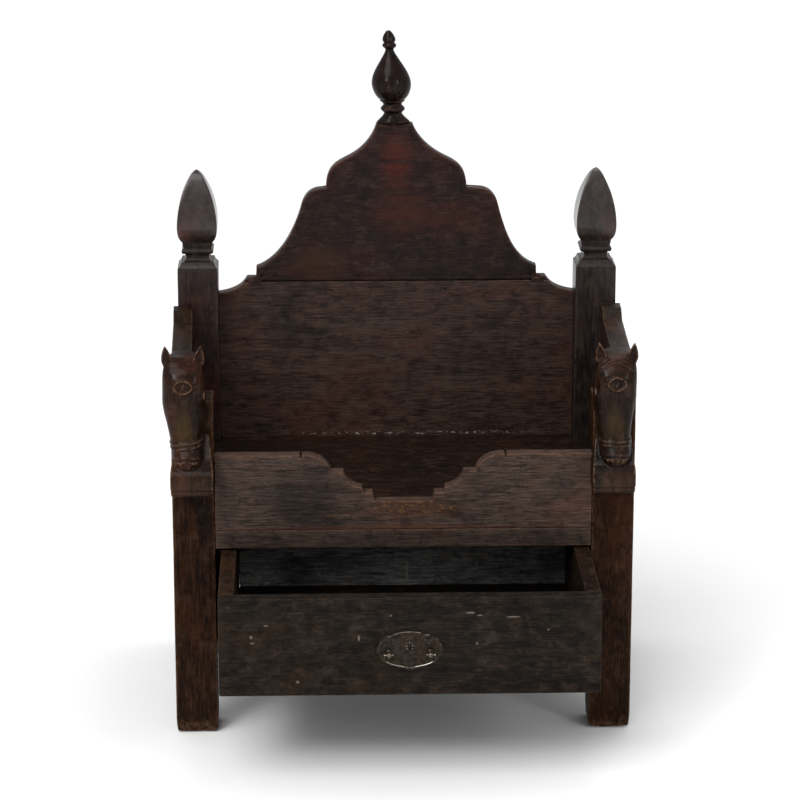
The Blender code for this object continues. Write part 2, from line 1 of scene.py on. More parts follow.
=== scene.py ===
"""The looks of a carved wooden throne with a drawer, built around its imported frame."""

import math

import bmesh
import bpy
import numpy as np
from mathutils import Matrix, Vector, noise


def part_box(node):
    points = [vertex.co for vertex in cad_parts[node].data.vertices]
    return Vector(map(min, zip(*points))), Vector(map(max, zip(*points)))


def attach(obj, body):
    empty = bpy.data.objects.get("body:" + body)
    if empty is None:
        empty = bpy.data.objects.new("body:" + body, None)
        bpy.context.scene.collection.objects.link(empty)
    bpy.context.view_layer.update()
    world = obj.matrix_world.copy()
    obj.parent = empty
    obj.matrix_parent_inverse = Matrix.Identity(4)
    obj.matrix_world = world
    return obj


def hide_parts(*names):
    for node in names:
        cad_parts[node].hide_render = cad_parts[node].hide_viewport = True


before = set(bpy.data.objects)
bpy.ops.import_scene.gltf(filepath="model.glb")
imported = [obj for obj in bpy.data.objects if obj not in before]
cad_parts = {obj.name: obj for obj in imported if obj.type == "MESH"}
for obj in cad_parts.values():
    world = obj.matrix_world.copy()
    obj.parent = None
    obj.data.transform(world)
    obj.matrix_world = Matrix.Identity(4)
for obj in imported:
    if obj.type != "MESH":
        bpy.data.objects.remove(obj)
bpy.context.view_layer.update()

# The set: a pale floor, soft studio light from large sources, and the camera, which stands five metres
# in front of the throne and two metres up, and looks down on it with a long lens.
eye = Vector((-0.1482, -5.0451, 1.9822))
look_down = math.radians(15.95)
look_right = math.radians(1.65)
lens_mm = 144
film_mm = 36
floor_side = 60.0
floor_tone = "#f7f7f6"
floor_roughness = 0.9
sun_strength = 1.5
sun_width = math.radians(40)
sun_height = math.radians(38)
sun_side = math.radians(-32)
sky_tone = "#fbfbfd"
sky_strength = 0.75


def linear(code):
    """The linear colour of an sRGB hex value."""
    channels = [int(code[i : i + 2], 16) / 255 for i in (1, 3, 5)]
    lit = [c / 12.92 if c <= 0.04045 else ((c + 0.055) / 1.055) ** 2.4 for c in channels]
    return (*lit, 1.0)


def add_node(tree, kind, settings=(), links=()):
    """A new node with its sockets or properties set, and its inputs linked."""
    node = tree.nodes.new(kind)
    for name, value in dict(settings).items():
        if name in node.inputs:
            node.inputs[name].default_value = value
        else:
            setattr(node, name, value)
    for name, source in dict(links).items():
        tree.links.new(source, node.inputs[name])
    return node


def new_material(name):
    """A plain node material, its node tree and its shader."""
    material = bpy.data.materials.new(name)
    material.use_nodes = True
    return material, material.node_tree, material.node_tree.nodes["Principled BSDF"]


def put_in(name, data):
    """A new object in the scene that shows the data."""
    obj = bpy.data.objects.new(name, data)
    bpy.context.collection.objects.link(obj)
    return obj


def mesh_from(name, bm):
    """The bmesh's shapes as a mesh. The bmesh is freed."""
    mesh = bpy.data.meshes.new(name)
    bm.to_mesh(mesh)
    bm.free()
    return mesh


camera = put_in("camera", bpy.data.cameras.new("camera"))
camera.data.lens = lens_mm
camera.data.sensor_width = film_mm
camera.location = eye
camera.rotation_euler = (math.radians(90) - look_down, 0.0, -look_right)
bpy.context.scene.camera = camera

bm = bmesh.new()
bmesh.ops.create_grid(bm, x_segments=1, y_segments=1, size=floor_side / 2)
floor = put_in("floor", mesh_from("floor", bm))
floor_paint, _, floor_shader = new_material("pale_floor")
floor_shader.inputs["Base Color"].default_value = linear(floor_tone)
floor_shader.inputs["Roughness"].default_value = floor_roughness
floor.data.materials.append(floor_paint)

sun = bpy.data.lights.new("window", "SUN")
sun.energy = sun_strength
sun.angle = sun_width
window = put_in("window", sun)
window.rotation_euler = (sun_height, 0.0, sun_side)
lights = (
    ("key", (-1.9, -2.9, 2.6), (0.0, 0.0, 0.60), (0.9, 0.9), 30),
    ("fill", (2.4, -2.8, 1.9), (0.0, 0.0, 0.50), (0.7, 1.2), 16),
    ("top", (0.4, 0.2, 3.4), (0.0, 0.1, 0.4), (1.2, 0.8), 14),
)
for name, place, target, size, power in lights:
    lamp = bpy.data.lights.new(name, "AREA")
    lamp.shape = "RECTANGLE"
    lamp.size, lamp.size_y = size
    lamp.energy = power
    obj = put_in(name, lamp)
    obj.location = place
    obj.rotation_euler = (Vector(target) - Vector(place)).to_track_quat("-Z", "Y").to_euler()

world = bpy.data.worlds.new("studio")
world.use_nodes = True
sky = world.node_tree.nodes["Background"]
sky.inputs["Color"].default_value = linear(sky_tone)
sky.inputs["Strength"].default_value = sky_strength
bpy.context.scene.world = world
bpy.context.scene.view_settings.view_transform = "Standard"

# Front legs and back posts: square timbers of a dense dark hardwood, stained by hands, oil and smoke.
# Their arrises are rounded by wear, their feet are chipped, and each post ends in a bud that was
# carved from the same timber over a stepped neck.
leg_side = 0.069
leg_low, leg_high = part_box("front_leg_left")
post_low, post_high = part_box("back_post_left")
grain_turns = {
    "X": (0.0, 0.0, 0.0),
    "Y": (0.0, 0.0, math.radians(90)),
    "Z": (0.0, math.radians(90), 0.0),
}


def layered_colour(tree, base, layers):
    """A colour built up in layers. A layer has its tone, its patterns with the values between which
    each sets in, and the share that it covers at most."""
    colour = None
    for tone, ramps, share in layers:
        for source, low, high in ramps:
            ramp = add_node(
                tree, "ShaderNodeMapRange",
                {"From Min": low, "From Max": high, "interpolation_type": "SMOOTHSTEP"},
                {"Value": source},
            )
            if isinstance(share, float):
                ramp.inputs["To Max"].default_value = share
            else:
                tree.links.new(share, ramp.inputs["To Max"])
            share = ramp.outputs["Result"]
        mixed = add_node(
            tree, "ShaderNodeMixRGB", {"Color1": linear(base), "Color2": linear(tone)}, {"Fac": share}
        )
        if colour:
            tree.links.new(colour, mixed.inputs["Color1"])
        colour = mixed.outputs["Color"]
    return colour


def stained_timber(name, grain, dark, middle, warm, worn, seed, gloss=(0.36, 0.62), relief=0.0004,
                   patches=(), marks=(), specks=(), grime=0.5, dust_and_sheen=0.25, specular=0.16, coat=0.0,
                   rub=0.50):
    """Old stained hardwood, planed by hand and rubbed. The eye sees fine streaks along the grain,
    broad clouds of stain, open pores, a grey bloom that is partly dust and partly painted sheen, and
    paler wood where the arrises have worn through. Patches are soft stains, marks are crisp ones and
    specks are broken up by flecks: each has its place, its reach, its tone and its share."""
    fibre_width = 0.0022
    fibre_length = 0.034
    streak_width = 0.014
    streak_length = 0.34
    cloud_size = 0.130
    pore_width = 0.0009
    pore_length = 0.012
    fleck_size = 0.004
    scratch_width = 0.0007
    scratch_length = 0.045
    mottle_size = 0.015
    coat_roughness = 0.16
    smoke = "#0b0706"
    soot = "#090605"
    handled = "#4a3a31"
    # A grey that is partly dust and partly painted sheen, the grey-blue sheen of light on the faces.
    grey_dust_and_sheen = "#4b433d"
    pore_tone = "#080504"
    dirt = "#060404"
    material, tree, shader = new_material(name)
    shader.inputs["Specular IOR Level"].default_value = specular
    shader.inputs["Coat Weight"].default_value = coat
    shader.inputs["Coat Roughness"].default_value = coat_roughness
    coords = add_node(tree, "ShaderNodeTexCoord")
    turned = add_node(
        tree, "ShaderNodeMapping",
        {"Rotation": grain_turns[grain], "Location": (seed * 1.37, seed * 0.71, seed * 2.13)},
        {"Vector": coords.outputs["Object"]},
    )
    patterns = []
    for length, width, detail, roughness, distortion in (
        (fibre_length, fibre_width, 5.0, 0.62, 0.25),
        (streak_length, streak_width, 4.0, 0.55, 0.5),
        (cloud_size * 1.7, cloud_size, 3.0, 0.55, 0.8),
        (pore_length, pore_width, 2.0, 0.5, 0.0),
        (fleck_size * 2, fleck_size, 3.0, 0.7, 0.0),
        (cloud_size * 1.1, cloud_size * 0.5, 5.0, 0.65, 1.4),
        (scratch_length, scratch_width, 1.0, 0.4, 0.8),
        (mottle_size * 1.5, mottle_size, 5.0, 0.72, 0.4),
    ):
        scaled = add_node(
            tree, "ShaderNodeMapping", {"Scale": (1 / length, 1 / width, 1 / width)},
            {"Vector": turned.outputs["Vector"]},
        )
        cloudy = add_node(
            tree, "ShaderNodeTexNoise",
            {"Scale": 1.0, "Detail": detail, "Roughness": roughness, "Distortion": distortion},
            {"Vector": scaled.outputs["Vector"]},
        )
        patterns.append(cloudy.outputs["Fac"])
    fibres, streaks, clouds, pores, flecks, dust_and_sheen_clouds, scratches, mottle = patterns
    layers = [
        (middle, [(fibres, 0.36, 0.70)], 1.0),
        (middle, [(streaks, 0.48, 0.72)], 0.45),
        (warm, [(clouds, 0.50, 0.68)], 0.55),
        (smoke, [(clouds, 0.46, 0.30)], 0.60),
        (soot, [(mottle, 0.50, 0.36)], 0.55),
        (handled, [(mottle, 0.50, 0.68)], 0.26),
        # Painted sheen: this grey layer stands for dust and also for the grey-blue sheen of light, most on
        # the posts and the apron.
        (grey_dust_and_sheen, [(dust_and_sheen_clouds, 0.56, 0.74)], dust_and_sheen),
    ]
    for spots, low, high, broken_up in (
        (patches, 0.05, 0.75, [(streaks, 0.25, 0.62)]),
        (specks, 0.02, 0.30, [(flecks, 0.56, 0.62)]),
        (marks, 0.15, 0.45, []),
    ):
        for place, reach, tone, share in spots:
            spot = add_node(
                tree, "ShaderNodeMapping", {"vector_type": "TEXTURE", "Location": place, "Scale": reach},
                {"Vector": coords.outputs["Object"]},
            )
            ball = add_node(
                tree, "ShaderNodeTexGradient", {"gradient_type": "SPHERICAL"},
                {"Vector": spot.outputs["Vector"]},
            )
            layers.append((tone, broken_up + [(ball.outputs["Fac"], low, high)], share))
    layers += [
        (pore_tone, [(pores, 0.60, 0.72)], 0.75),
        (worn, [(flecks, 0.70, 0.80)], 0.22),
        (worn, [(scratches, 0.73, 0.80), (dust_and_sheen_clouds, 0.45, 0.60)], 0.35),
    ]
    for marking, tone, broken_up, strength in (
        ("wear_and_highlight", worn, [(flecks, 0.38, 0.60)], rub), ("grime", dirt, [], grime),
    ):
        marked = add_node(tree, "ShaderNodeAttribute", {"attribute_name": marking})
        shown = add_node(tree, "ShaderNodeMath", {"operation": "MULTIPLY"}, {0: marked.outputs["Fac"]})
        shown.inputs[1].default_value = strength
        layers.append((tone, broken_up, shown.outputs["Value"]))
    tree.links.new(layered_colour(tree, dark, layers), shader.inputs["Base Color"])
    rough = add_node(
        tree, "ShaderNodeMapRange",
        {"From Min": 0.32, "From Max": 0.66, "To Min": gloss[0], "To Max": gloss[1]}, {"Value": streaks},
    )
    tree.links.new(rough.outputs["Result"], shader.inputs["Roughness"])
    open_pores = add_node(
        tree, "ShaderNodeMapRange",
        {"From Min": 0.58, "From Max": 0.72, "interpolation_type": "SMOOTHSTEP"}, {"Value": pores},
    )
    surface = None
    for height, strength, deep, sunk in (
        (fibres, 0.55, relief, False), (open_pores.outputs["Result"], 0.6, relief, True),
        (streaks, 0.5, relief * 5, False),
    ):
        bump = add_node(
            tree, "ShaderNodeBump", {"Strength": strength, "Distance": deep, "invert": sunk},
            {"Height": height},
        )
        if surface:
            tree.links.new(surface, bump.inputs["Normal"])
        surface = bump.outputs["Normal"]
    tree.links.new(surface, shader.inputs["Normal"])
    return material


def mesh_object(name, bm, material, body):
    """The bmesh as a smooth object that rides on a body."""
    sharp_from = math.radians(50)
    mesh = mesh_from(name, bm)
    mesh.shade_smooth()
    mesh.set_sharp_from_angle(angle=sharp_from)
    mesh.materials.append(material)
    obj = put_in(name, mesh)
    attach(obj, body)
    return obj


def even_shading(obj):
    """Large faces stay flat beside the rounded arrises."""
    weighted = obj.modifiers.new("even shading", "WEIGHTED_NORMAL")
    weighted.keep_sharp = True


def face_outwards(bm):
    """Turns the normal of every face outwards."""
    bm.normal_update()
    bmesh.ops.recalc_face_normals(bm, faces=bm.faces)


def round_edges(bm, edges, width):
    """Takes edges off in two narrow facets."""
    bmesh.ops.bevel(
        bm, geom=edges, offset=width, offset_type="OFFSET", segments=2, profile=0.5, affect="EDGES",
        material=-1,
    )


def wear_down(bm, distances, arris, wander, chips, seed, foot=0.0):
    """Rounds the arrises unevenly, waves the faces by less than a millimetre, and marks the worn
    wood, which reaches furthest round a foot. Every point moves inwards only, so the board stays in
    its place."""
    foot_reach = 0.011
    foot_rounding = 0.0048
    foot_chips = 0.0032
    wear_and_highlight = bm.verts.layers.float.new("wear_and_highlight")
    grime = bm.verts.layers.float.new("grime")
    bm.normal_update()
    shift = Vector((seed * 3.1, seed * 1.7, seed * 0.9))
    for vert, distance in zip(bm.verts, distances):
        at_arris = max(0.0, 1.0 - distance / (arris * 1.15))
        bite = noise.noise(vert.co * 60 + shift) + 0.6 * noise.noise(vert.co * 170 + shift)
        wave = 0.5 + 0.5 * noise.noise(vert.co * 9 + shift)
        fine_wave = 0.5 + 0.5 * noise.noise(vert.co * 45 + shift)
        inwards = wander * (0.7 * wave + 0.3 * fine_wave)
        inwards += at_arris * chips * max(0.0, bite - 0.28)
        if foot and vert.co.z < foot:
            low_end = 1.0 - vert.co.z / foot
            round_foot = max(0.0, 1.0 - distance / foot_reach) * low_end**2
            inwards += round_foot * (foot_rounding + foot_chips * bite)
            at_arris = max(at_arris, low_end * min(1.0, max(0.0, 0.75 + 1.6 * bite)) * 1.2 - 0.2)
        vert[wear_and_highlight] = at_arris
        vert[grime] = 0.0
        vert.co -= vert.normal * inwards


def old_board(name, low, high, material, seed, step, body="frame", arris=0.0018,
              wander=0.0006, foot=0.0):
    """A hand-planed board between two opposite corners, split into steps fine enough for its wear."""
    chips = 0.0022
    size = high - low
    bm = bmesh.new()
    bmesh.ops.create_cube(bm, size=1.0)
    bmesh.ops.scale(bm, vec=size, verts=bm.verts)
    bmesh.ops.translate(bm, vec=(low + high) / 2, verts=bm.verts)
    round_edges(bm, bm.edges[:], arris)
    for axis in range(3):
        runs = [
            edge for edge in bm.edges
            if abs(edge.verts[0].co[axis] - edge.verts[1].co[axis]) > 0.6 * size[axis] - arris
            and edge.calc_length() < size[axis]
        ]
        cuts = int(size[axis] / step)
        if cuts:
            bmesh.ops.subdivide_edges(bm, edges=runs, cuts=cuts, use_grid_fill=True)
    distances = []
    for vert in bm.verts:
        near = sorted(min(vert.co[a] - low[a], high[a] - vert.co[a]) for a in range(3))
        distances.append(near[1])
    wear_down(bm, distances, arris, wander, chips, seed, foot)
    obj = mesh_object(name, bm, material, body)
    even_shading(obj)
    return obj


for number, hand in enumerate(("left", "right")):
    node = "front_leg_" + hand
    low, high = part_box(node)
    timber = stained_timber(
        "leg_timber_" + hand, "Z", "#140b06", "#331f11", "#381c0e", "#6b4c38", 3.0 + number, dust_and_sheen=0.04,
        specular=0.04, rub=0.80,
    )
    leg = old_board(node + "_timber", low, high, timber, 3.0 + number, 0.005, arris=0.0028, foot=0.030)
    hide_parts(node)


def spin_up(points, steps, merge=0.00002):
    """A form made by turning an outline round the Z axis. Each point has its radius and its height."""
    bm = bmesh.new()
    profile = [bm.verts.new((radius, 0.0, height)) for radius, height in points]
    edges = [bm.edges.new(pair) for pair in zip(profile, profile[1:])]
    bmesh.ops.spin(
        bm, geom=profile + edges, cent=(0, 0, 0), axis=(0, 0, 1), angle=2 * math.pi, steps=steps,
        use_merge=True,
    )
    bmesh.ops.remove_doubles(bm, verts=bm.verts, dist=merge)
    return bm


neck_levels = (
    (1.000, 0.745), (0.930, 0.742), (0.860, 0.728), (0.820, 0.692), (0.770, 0.690), (0.750, 0.735),
    (0.710, 0.778), (0.660, 0.790), (0.610, 0.778), (0.575, 0.735), (0.570, 0.640), (0.500, 0.590),
    (0.430, 0.578), (0.370, 0.590), (0.330, 0.615), (0.285, 0.690), (0.270, 0.740), (0.265, 0.800),
    (0.200, 0.835), (0.130, 0.880), (0.090, 0.925), (0.050, 0.960), (0.045, 0.990),
)
bud_levels = (
    (1.000, 0.04), (0.995, 0.075), (0.985, 0.12), (0.965, 0.195), (0.940, 0.27), (0.905, 0.35),
    (0.870, 0.42), (0.830, 0.492), (0.790, 0.56), (0.740, 0.638), (0.690, 0.71), (0.635, 0.774),
    (0.580, 0.83), (0.520, 0.882), (0.460, 0.925), (0.395, 0.960), (0.330, 0.985), (0.265, 0.998),
    (0.200, 1.000), (0.150, 0.985), (0.110, 0.960), (0.075, 0.920), (0.045, 0.870),
)
neck_height = 0.046
bud_height = 0.122
bud_half_width = 0.0342
post_rows = 90
post_arris = 0.0016
post_wander = 0.00025
post_chips = 0.0015
level_gap = 1e-5
shoulder_height = post_high.z - neck_height - bud_height
for number, hand in enumerate(("left", "right")):
    node = "back_post_" + hand
    low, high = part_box(node)
    half = leg_side / 2
    middle = (low + high) / 2
    bud_foot = shoulder_height + neck_height
    levels = [(0.0, high.z - 0.0005)]
    levels += [(bud_half_width * w, bud_foot + bud_height * h) for h, w in bud_levels]
    levels += [(half * w, shoulder_height + neck_height * h) for h, w in neck_levels]
    levels += [(half, shoulder_height)]
    levels += [(half, shoulder_height * (1 - row / post_rows)) for row in range(1, post_rows)]
    levels += [(half - 0.002, 0.0), (half - 0.02, 0.0), (0.0, 0.0)]
    bm = spin_up([(width * math.sqrt(2), height) for width, height in levels], 4)
    bmesh.ops.rotate(bm, cent=(0, 0, 0), matrix=Matrix.Rotation(math.radians(45), 3, "Z"), verts=bm.verts)
    corners = [
        edge for edge in bm.edges
        if all(abs(abs(v.co.x) - abs(v.co.y)) < level_gap and abs(v.co.x) > 0.0015 for v in edge.verts)
        and abs(edge.verts[0].co.z - edge.verts[1].co.z) > level_gap
    ]
    round_edges(bm, corners, post_arris)
    across = [
        edge for edge in bm.edges
        if abs(edge.verts[0].co.z - edge.verts[1].co.z) < level_gap and edge.calc_length() > 0.004
    ]
    bmesh.ops.subdivide_edges(bm, edges=across, cuts=9, use_grid_fill=True)
    bmesh.ops.translate(bm, vec=(middle.x, middle.y, 0.0), verts=bm.verts)
    face_outwards(bm)
    distances = [
        abs(abs(abs(v.co.x - middle.x) - abs(v.co.y - middle.y))) * 0.7 + 0.0008 for v in bm.verts
    ]
    wear_down(bm, distances, post_arris, post_wander, post_chips, 11.0 + number)
    timber = stained_timber(
        "post_timber_" + hand, "Z", "#17110f", "#2f2522", "#3a2119", "#6b574b", 9.0 + number,
        gloss=(0.26, 0.46), relief=0.0002, dust_and_sheen=0.30, coat=0.10,
    )
    bud_wood = stained_timber(
        "bud_wood_" + hand, "Z", "#1b1513", "#302725", "#36241f", "#5e5048", 15.0 + number,
        gloss=(0.24, 0.38), relief=0.00006, dust_and_sheen=0.12, coat=0.55,
        patches=((
            ((low.x + 0.012, low.y, bud_foot + 0.022), (0.022, 0.03, 0.024), "#45180f", 0.6),
            ((high.x - 0.012, low.y, bud_foot + 0.030), (0.016, 0.03, 0.040), "#381a12", 0.5),
        )[number],),
    )
    post = mesh_object(node + "_timber", bm, timber, "frame")
    post.data.materials.append(bud_wood)
    for face in post.data.polygons:
        if face.center.z > bud_foot + 0.001:
            face.material_index = 1
    even_shading(post)
    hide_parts(node)

# The box around the drawer: boards at the sides and the back, the runners that carry the drawer and the
# cleats under the seat. All are plain planed hardwood, nailed or pegged from outside, and mostly hidden.
plain_boards = (
    ("side_panel_left", "Y"), ("side_panel_right", "Y"), ("box_side_left", "Y"), ("box_side_right", "Y"),
    ("box_back", "X"), ("seat_cleat_left", "Y"), ("seat_cleat_right", "Y"),
    ("drawer_runner_left", "Y"), ("drawer_runner_right", "Y"),
)
for number, (node, grain) in enumerate(plain_boards):
    low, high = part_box(node)
    seed = 20.0 + number
    timber = stained_timber(node + "_wood", grain, "#140d0a", "#2a1c15", "#341c12", "#54402f", seed)
    plank = old_board(node + "_board", low, high, timber, seed, 0.010)
    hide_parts(node)

# The front rail over the drawer: a square batten between the legs, its front worn grey by the knees
# and hands that pass it.
low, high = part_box("front_rail")
rail_wood = stained_timber(
    "rail_wood", "X", "#211914", "#43352d", "#442a1d", "#75523c", 31.0, gloss=(0.48, 0.72)
)
rail = old_board("front_rail_board", low, high, rail_wood, 31.0, 0.006)
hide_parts("front_rail")


# The seat: one wide board laid on the cleats, notched round the legs and the posts, dark and
# smooth from use.
def bend(start, start_pull, end_pull, end, steps):
    """Points along a cubic curve, its end left out."""
    points = []
    for step in range(steps):
        t = step / steps
        weights = ((1 - t) ** 3, 3 * t * (1 - t) ** 2, 3 * t**2 * (1 - t), t**3)
        corners = (start, start_pull, end_pull, end)
        points.append(tuple(sum(w * c[i] for w, c in zip(weights, corners)) for i in (0, 1)))
    return points


def sawn_board(name, points, low, high, material, seed, upright=True,
               arris=0.0018, step=0.010, wander=0.0006, chips=0.0022, groove=()):
    """A board sawn to an outline in XZ, or in XY if it lies flat, between two levels. A groove is a
    line scratched into its front, at a distance from the edge, with its width and depth."""
    bm = bmesh.new()
    if upright:
        ring = [bm.verts.new((x, low, z)) for x, z in points]
        thick = Vector((0.0, high - low, 0.0))
        axes = (0, 2, 1)
    else:
        ring = [bm.verts.new((x, y, low)) for x, y in points]
        thick = Vector((0.0, 0.0, high - low))
        axes = (0, 1, 2)
    made = bmesh.ops.extrude_face_region(bm, geom=[bm.faces.new(ring)])
    moved = [item for item in made["geom"] if isinstance(item, bmesh.types.BMVert)]
    bmesh.ops.translate(bm, vec=thick, verts=moved)
    face_outwards(bm)
    depth_axis = axes[2]
    rim = [
        edge for edge in bm.edges
        if abs(edge.verts[0].co[depth_axis] - edge.verts[1].co[depth_axis]) < 1e-6
    ]
    round_edges(bm, rim, arris)
    if groove:
        inset, wide, deep = groove
        front_face = min(bm.faces, key=lambda face: face.calc_center_median()[depth_axis] - face.calc_area())
        for width, rise in ((inset - wide / 2, 0.0), (wide / 2, -deep), (wide / 2, deep)):
            bmesh.ops.inset_region(
                bm, faces=[front_face], thickness=width, depth=rise, use_even_offset=True
            )
    for axis, along in zip(axes, zip(*points)):
        start = min(along)
        end = max(along)
        normal = Vector((0.0, 0.0, 0.0))
        normal[axis] = 1.0
        for cut in range(1, int((end - start) / step) + 1):
            place = normal * (start + cut * step)
            bmesh.ops.bisect_plane(
                bm, geom=bm.verts[:] + bm.edges[:] + bm.faces[:], plane_co=place, plane_no=normal
            )
    corners = np.array(points)
    ends = np.roll(corners, -1, axis=0)
    runs = ends - corners
    flat = np.array([(v.co[axes[0]], v.co[axes[1]]) for v in bm.verts])
    reach = flat[:, None, :] - corners[None, :, :]
    share = np.clip((reach * runs).sum(2) / (runs * runs).sum(1), 0.0, 1.0)
    to_rim = np.linalg.norm(reach - share[:, :, None] * runs[None, :, :], axis=2).min(1)
    level = np.array([v.co[depth_axis] for v in bm.verts])
    to_face = np.minimum(level - low, high - level)
    wear_down(bm, np.maximum(to_rim, to_face), arris, wander, chips, seed)
    obj = mesh_object(name, bm, material, "frame")
    even_shading(obj)
    return obj


low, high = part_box("seat_board")
opening_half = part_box("front_rail")[1].x
leg_back = leg_high.y
post_front = post_low.y
seat_wood = stained_timber(
    "seat_wood", "X", "#100805", "#22140c", "#2c170d", "#6a5442", 41.0, gloss=(0.30, 0.55), dust_and_sheen=0.08
)
right_edge = [
    (opening_half, low.y), (opening_half, leg_back + 0.0003), (high.x, leg_back + 0.0003),
    (high.x, post_front - 0.0003), (opening_half, post_front - 0.0003), (opening_half, high.y),
]
seat_outline = right_edge + [(-x, y) for x, y in reversed(right_edge)]
seat = sawn_board("seat_plank", seat_outline, low.z, high.z, seat_wood, 41.0, upright=False)
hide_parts("seat_board")

# The apron: a board set on the rail, its notch sawn in steps and lobes down to the seat. Its front is
# matt and grey-brown, and the sawn edge is rubbed to a reddish tan.
low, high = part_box("front_apron")
notch_half_width = 0.160
notch_depth = 0.0785
nick_depth = 0.006
nick_x = notch_half_width + nick_depth
apron_top = high.z


def notch_at(across, down):
    """A point on the notch's edge, by its shares of the half width and the depth."""
    return (notch_half_width * across, apron_top - notch_depth * down)


half_edge = [
    (high.x, low.z), (high.x, apron_top), (nick_x + nick_depth / 3, apron_top),
    (nick_x, apron_top - nick_depth), (nick_x - nick_depth / 3, apron_top - nick_depth / 6),
]
half_edge += bend(
    notch_at(1.0, 0.0), notch_at(0.863, 0.0), notch_at(0.744, 0.166), notch_at(0.731, 0.357), 14,
)
half_edge += [notch_at(0.731, 0.357), notch_at(0.728, 0.363)]
half_edge += bend(
    notch_at(0.609, 0.363), notch_at(0.588, 0.554), notch_at(0.525, 0.669), notch_at(0.419, 0.707), 14,
)
half_edge += [notch_at(0.419, 0.707), notch_at(0.409, 0.815), notch_at(0.3125, 0.815), notch_at(0.294, 1.0)]
apron_outline = half_edge + [(-x, z) for x, z in reversed(half_edge)]
apron_wood = stained_timber(
    "apron_wood", "X", "#261d18", "#514138", "#4d3022", "#845740", 51.0, gloss=(0.50, 0.75), dust_and_sheen=0.35,
    rub=0.85,
    patches=(
        ((0.0, low.y, 0.352), (0.36, 0.06, 0.008), "#43200f", 0.45),
        ((0.02, low.y, 0.385), (0.11, 0.06, 0.024), "#3c2412", 0.60),
    ),
    specks=(
        ((0.015, low.y, 0.387), (0.090, 0.03, 0.012), "#6f4a24", 0.60),
        ((-0.020, low.y, 0.376), (0.120, 0.03, 0.008), "#5c3a1c", 0.50),
    ),
)
apron = sawn_board(
    "front_apron_board", apron_outline, low.y, high.y, apron_wood, 51.0,
    arris=0.0012, step=0.007, chips=0.0016,
)
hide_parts("front_apron")

# The back: two planks of a redder, polished hardwood, the upper one sawn to a crest of lobes, steps
# and long hollow sweeps. It is thicker than a finger, and its front arris is rounded and rubbed bright.
low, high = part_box("back_panel_upper")
panel_front = low.y
panel_back = high.y
seam_height = low.z
crest_height = high.z
inner_half = opening_half + 0.0003
crest_shift = 0.006
crest_lean = -0.003
finial_radius = 0.0336
finial_foot_radius = 0.845 * finial_radius
crest_top_half = finial_foot_radius + 0.0024
plank_height = crest_height - seam_height
ledge_height = 0.0075
seam_drop = 0.020


def crest_edge(side):
    """The upper plank's edge on one side, from the top of the crest down to the seam."""

    def at(across, down, shift=0.0):
        return (side * inner_half * across + shift, crest_height - plank_height * down)

    def past(point, across, down):
        return (point[0] + side * inner_half * across, point[1] - plank_height * down)

    top = (side * crest_top_half + crest_lean, crest_height)
    ogee_end = at(0.268, 0.206)
    lobe_end = at(0.394, 0.401)
    step_end = at(0.438, 0.406, crest_shift)
    shoulder_end = at(0.549, 0.503, crest_shift)
    sweep_end = at(0.788, 0.907)
    points = bend(top, past(top, 0.020, 0.069), past(ogee_end, -0.098, -0.056), ogee_end, 20)
    points += bend(ogee_end, past(ogee_end, 0.072, 0.040), past(lobe_end, -0.002, -0.124), lobe_end, 18)
    points += [lobe_end]
    points += bend(
        step_end, past(step_end, 0.065, 0.0), past(shoulder_end, -0.013, -0.047), shoulder_end, 12,
    )
    points += bend(
        shoulder_end, past(shoulder_end, 0.036, 0.153), past(sweep_end, -0.137, -0.047), sweep_end, 24,
    )
    points += [
        sweep_end,
        (side * inner_half * 0.791, seam_height + ledge_height),
        (side * inner_half * 0.840, seam_height + ledge_height),
        (side * inner_half * 0.857, seam_height),
    ]
    return points


panel_wood = stained_timber(
    "panel_wood", "X", "#140b09", "#2b1b17", "#351710", "#6b4534", 61.0, gloss=(0.32, 0.54), coat=0.04,
    dust_and_sheen=0.14, specular=0.10,
    patches=(
        ((0.0, panel_front, 0.875), (0.04, 0.06, 0.070), "#471c12", 0.70),
        ((0.01, panel_front, 0.790), (0.07, 0.06, 0.070), "#3d1a12", 0.60),
        ((-0.13, panel_front, 0.690), (0.06, 0.06, 0.045), "#38200f", 0.50),
        ((0.07, panel_front, 0.676), (0.11, 0.06, 0.012), "#100a08", 0.70),
    ),
)
upper = sawn_board(
    "crest_plank", crest_edge(1) + crest_edge(-1)[::-1], panel_front, panel_back, panel_wood,
    61.0, arris=0.0030, step=0.009, chips=0.0016, groove=(0.0062, 0.0012, 0.0006),
)
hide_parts("back_panel_upper")
low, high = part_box("back_panel_lower")
lower_half = high.x + 0.0008
lower_outline = []
for side in (1, -1):
    edge = bend(
        (side * inner_half * 0.857, high.z), (side * inner_half * 0.882, high.z - seam_drop * 0.55),
        (side * inner_half * 0.941, high.z - seam_drop * 0.90), (side * lower_half, high.z - seam_drop), 12,
    )
    edge += [(side * lower_half, high.z - seam_drop), (side * lower_half, low.z)]
    lower_outline += edge if side > 0 else edge[::-1]
lower_wood = stained_timber(
    "lower_panel_wood", "X", "#1c1310", "#45332b", "#42241a", "#775a48", 62.5, gloss=(0.34, 0.58),
    specks=(((0.04, panel_front, 0.391), (0.26, 0.03, 0.0035), "#8f887c", 0.80),),
    marks=(
        ((-0.112, panel_front, 0.648), (0.005, 0.02, 0.0032), "#0a0605", 0.9),
        ((0.084, panel_front, 0.649), (0.005, 0.02, 0.0032), "#0a0605", 0.9),
    ),
)
lower = sawn_board(
    "lower_plank", lower_outline, panel_front, panel_back, lower_wood, 62.5, arris=0.0014,
    wander=0.0002, chips=0.0006,
)
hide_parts("back_panel_lower")
seam_reach = 0.006
seam_wear = 0.15
for plank in (upper, lower):
    wear_layer = plank.data.attributes["wear_and_highlight"]
    for vert in plank.data.vertices:
        if abs(vert.co.z - seam_height) < seam_reach and abs(vert.co.x) < inner_half * 0.80:
            wear_layer.data[vert.index].value *= seam_wear

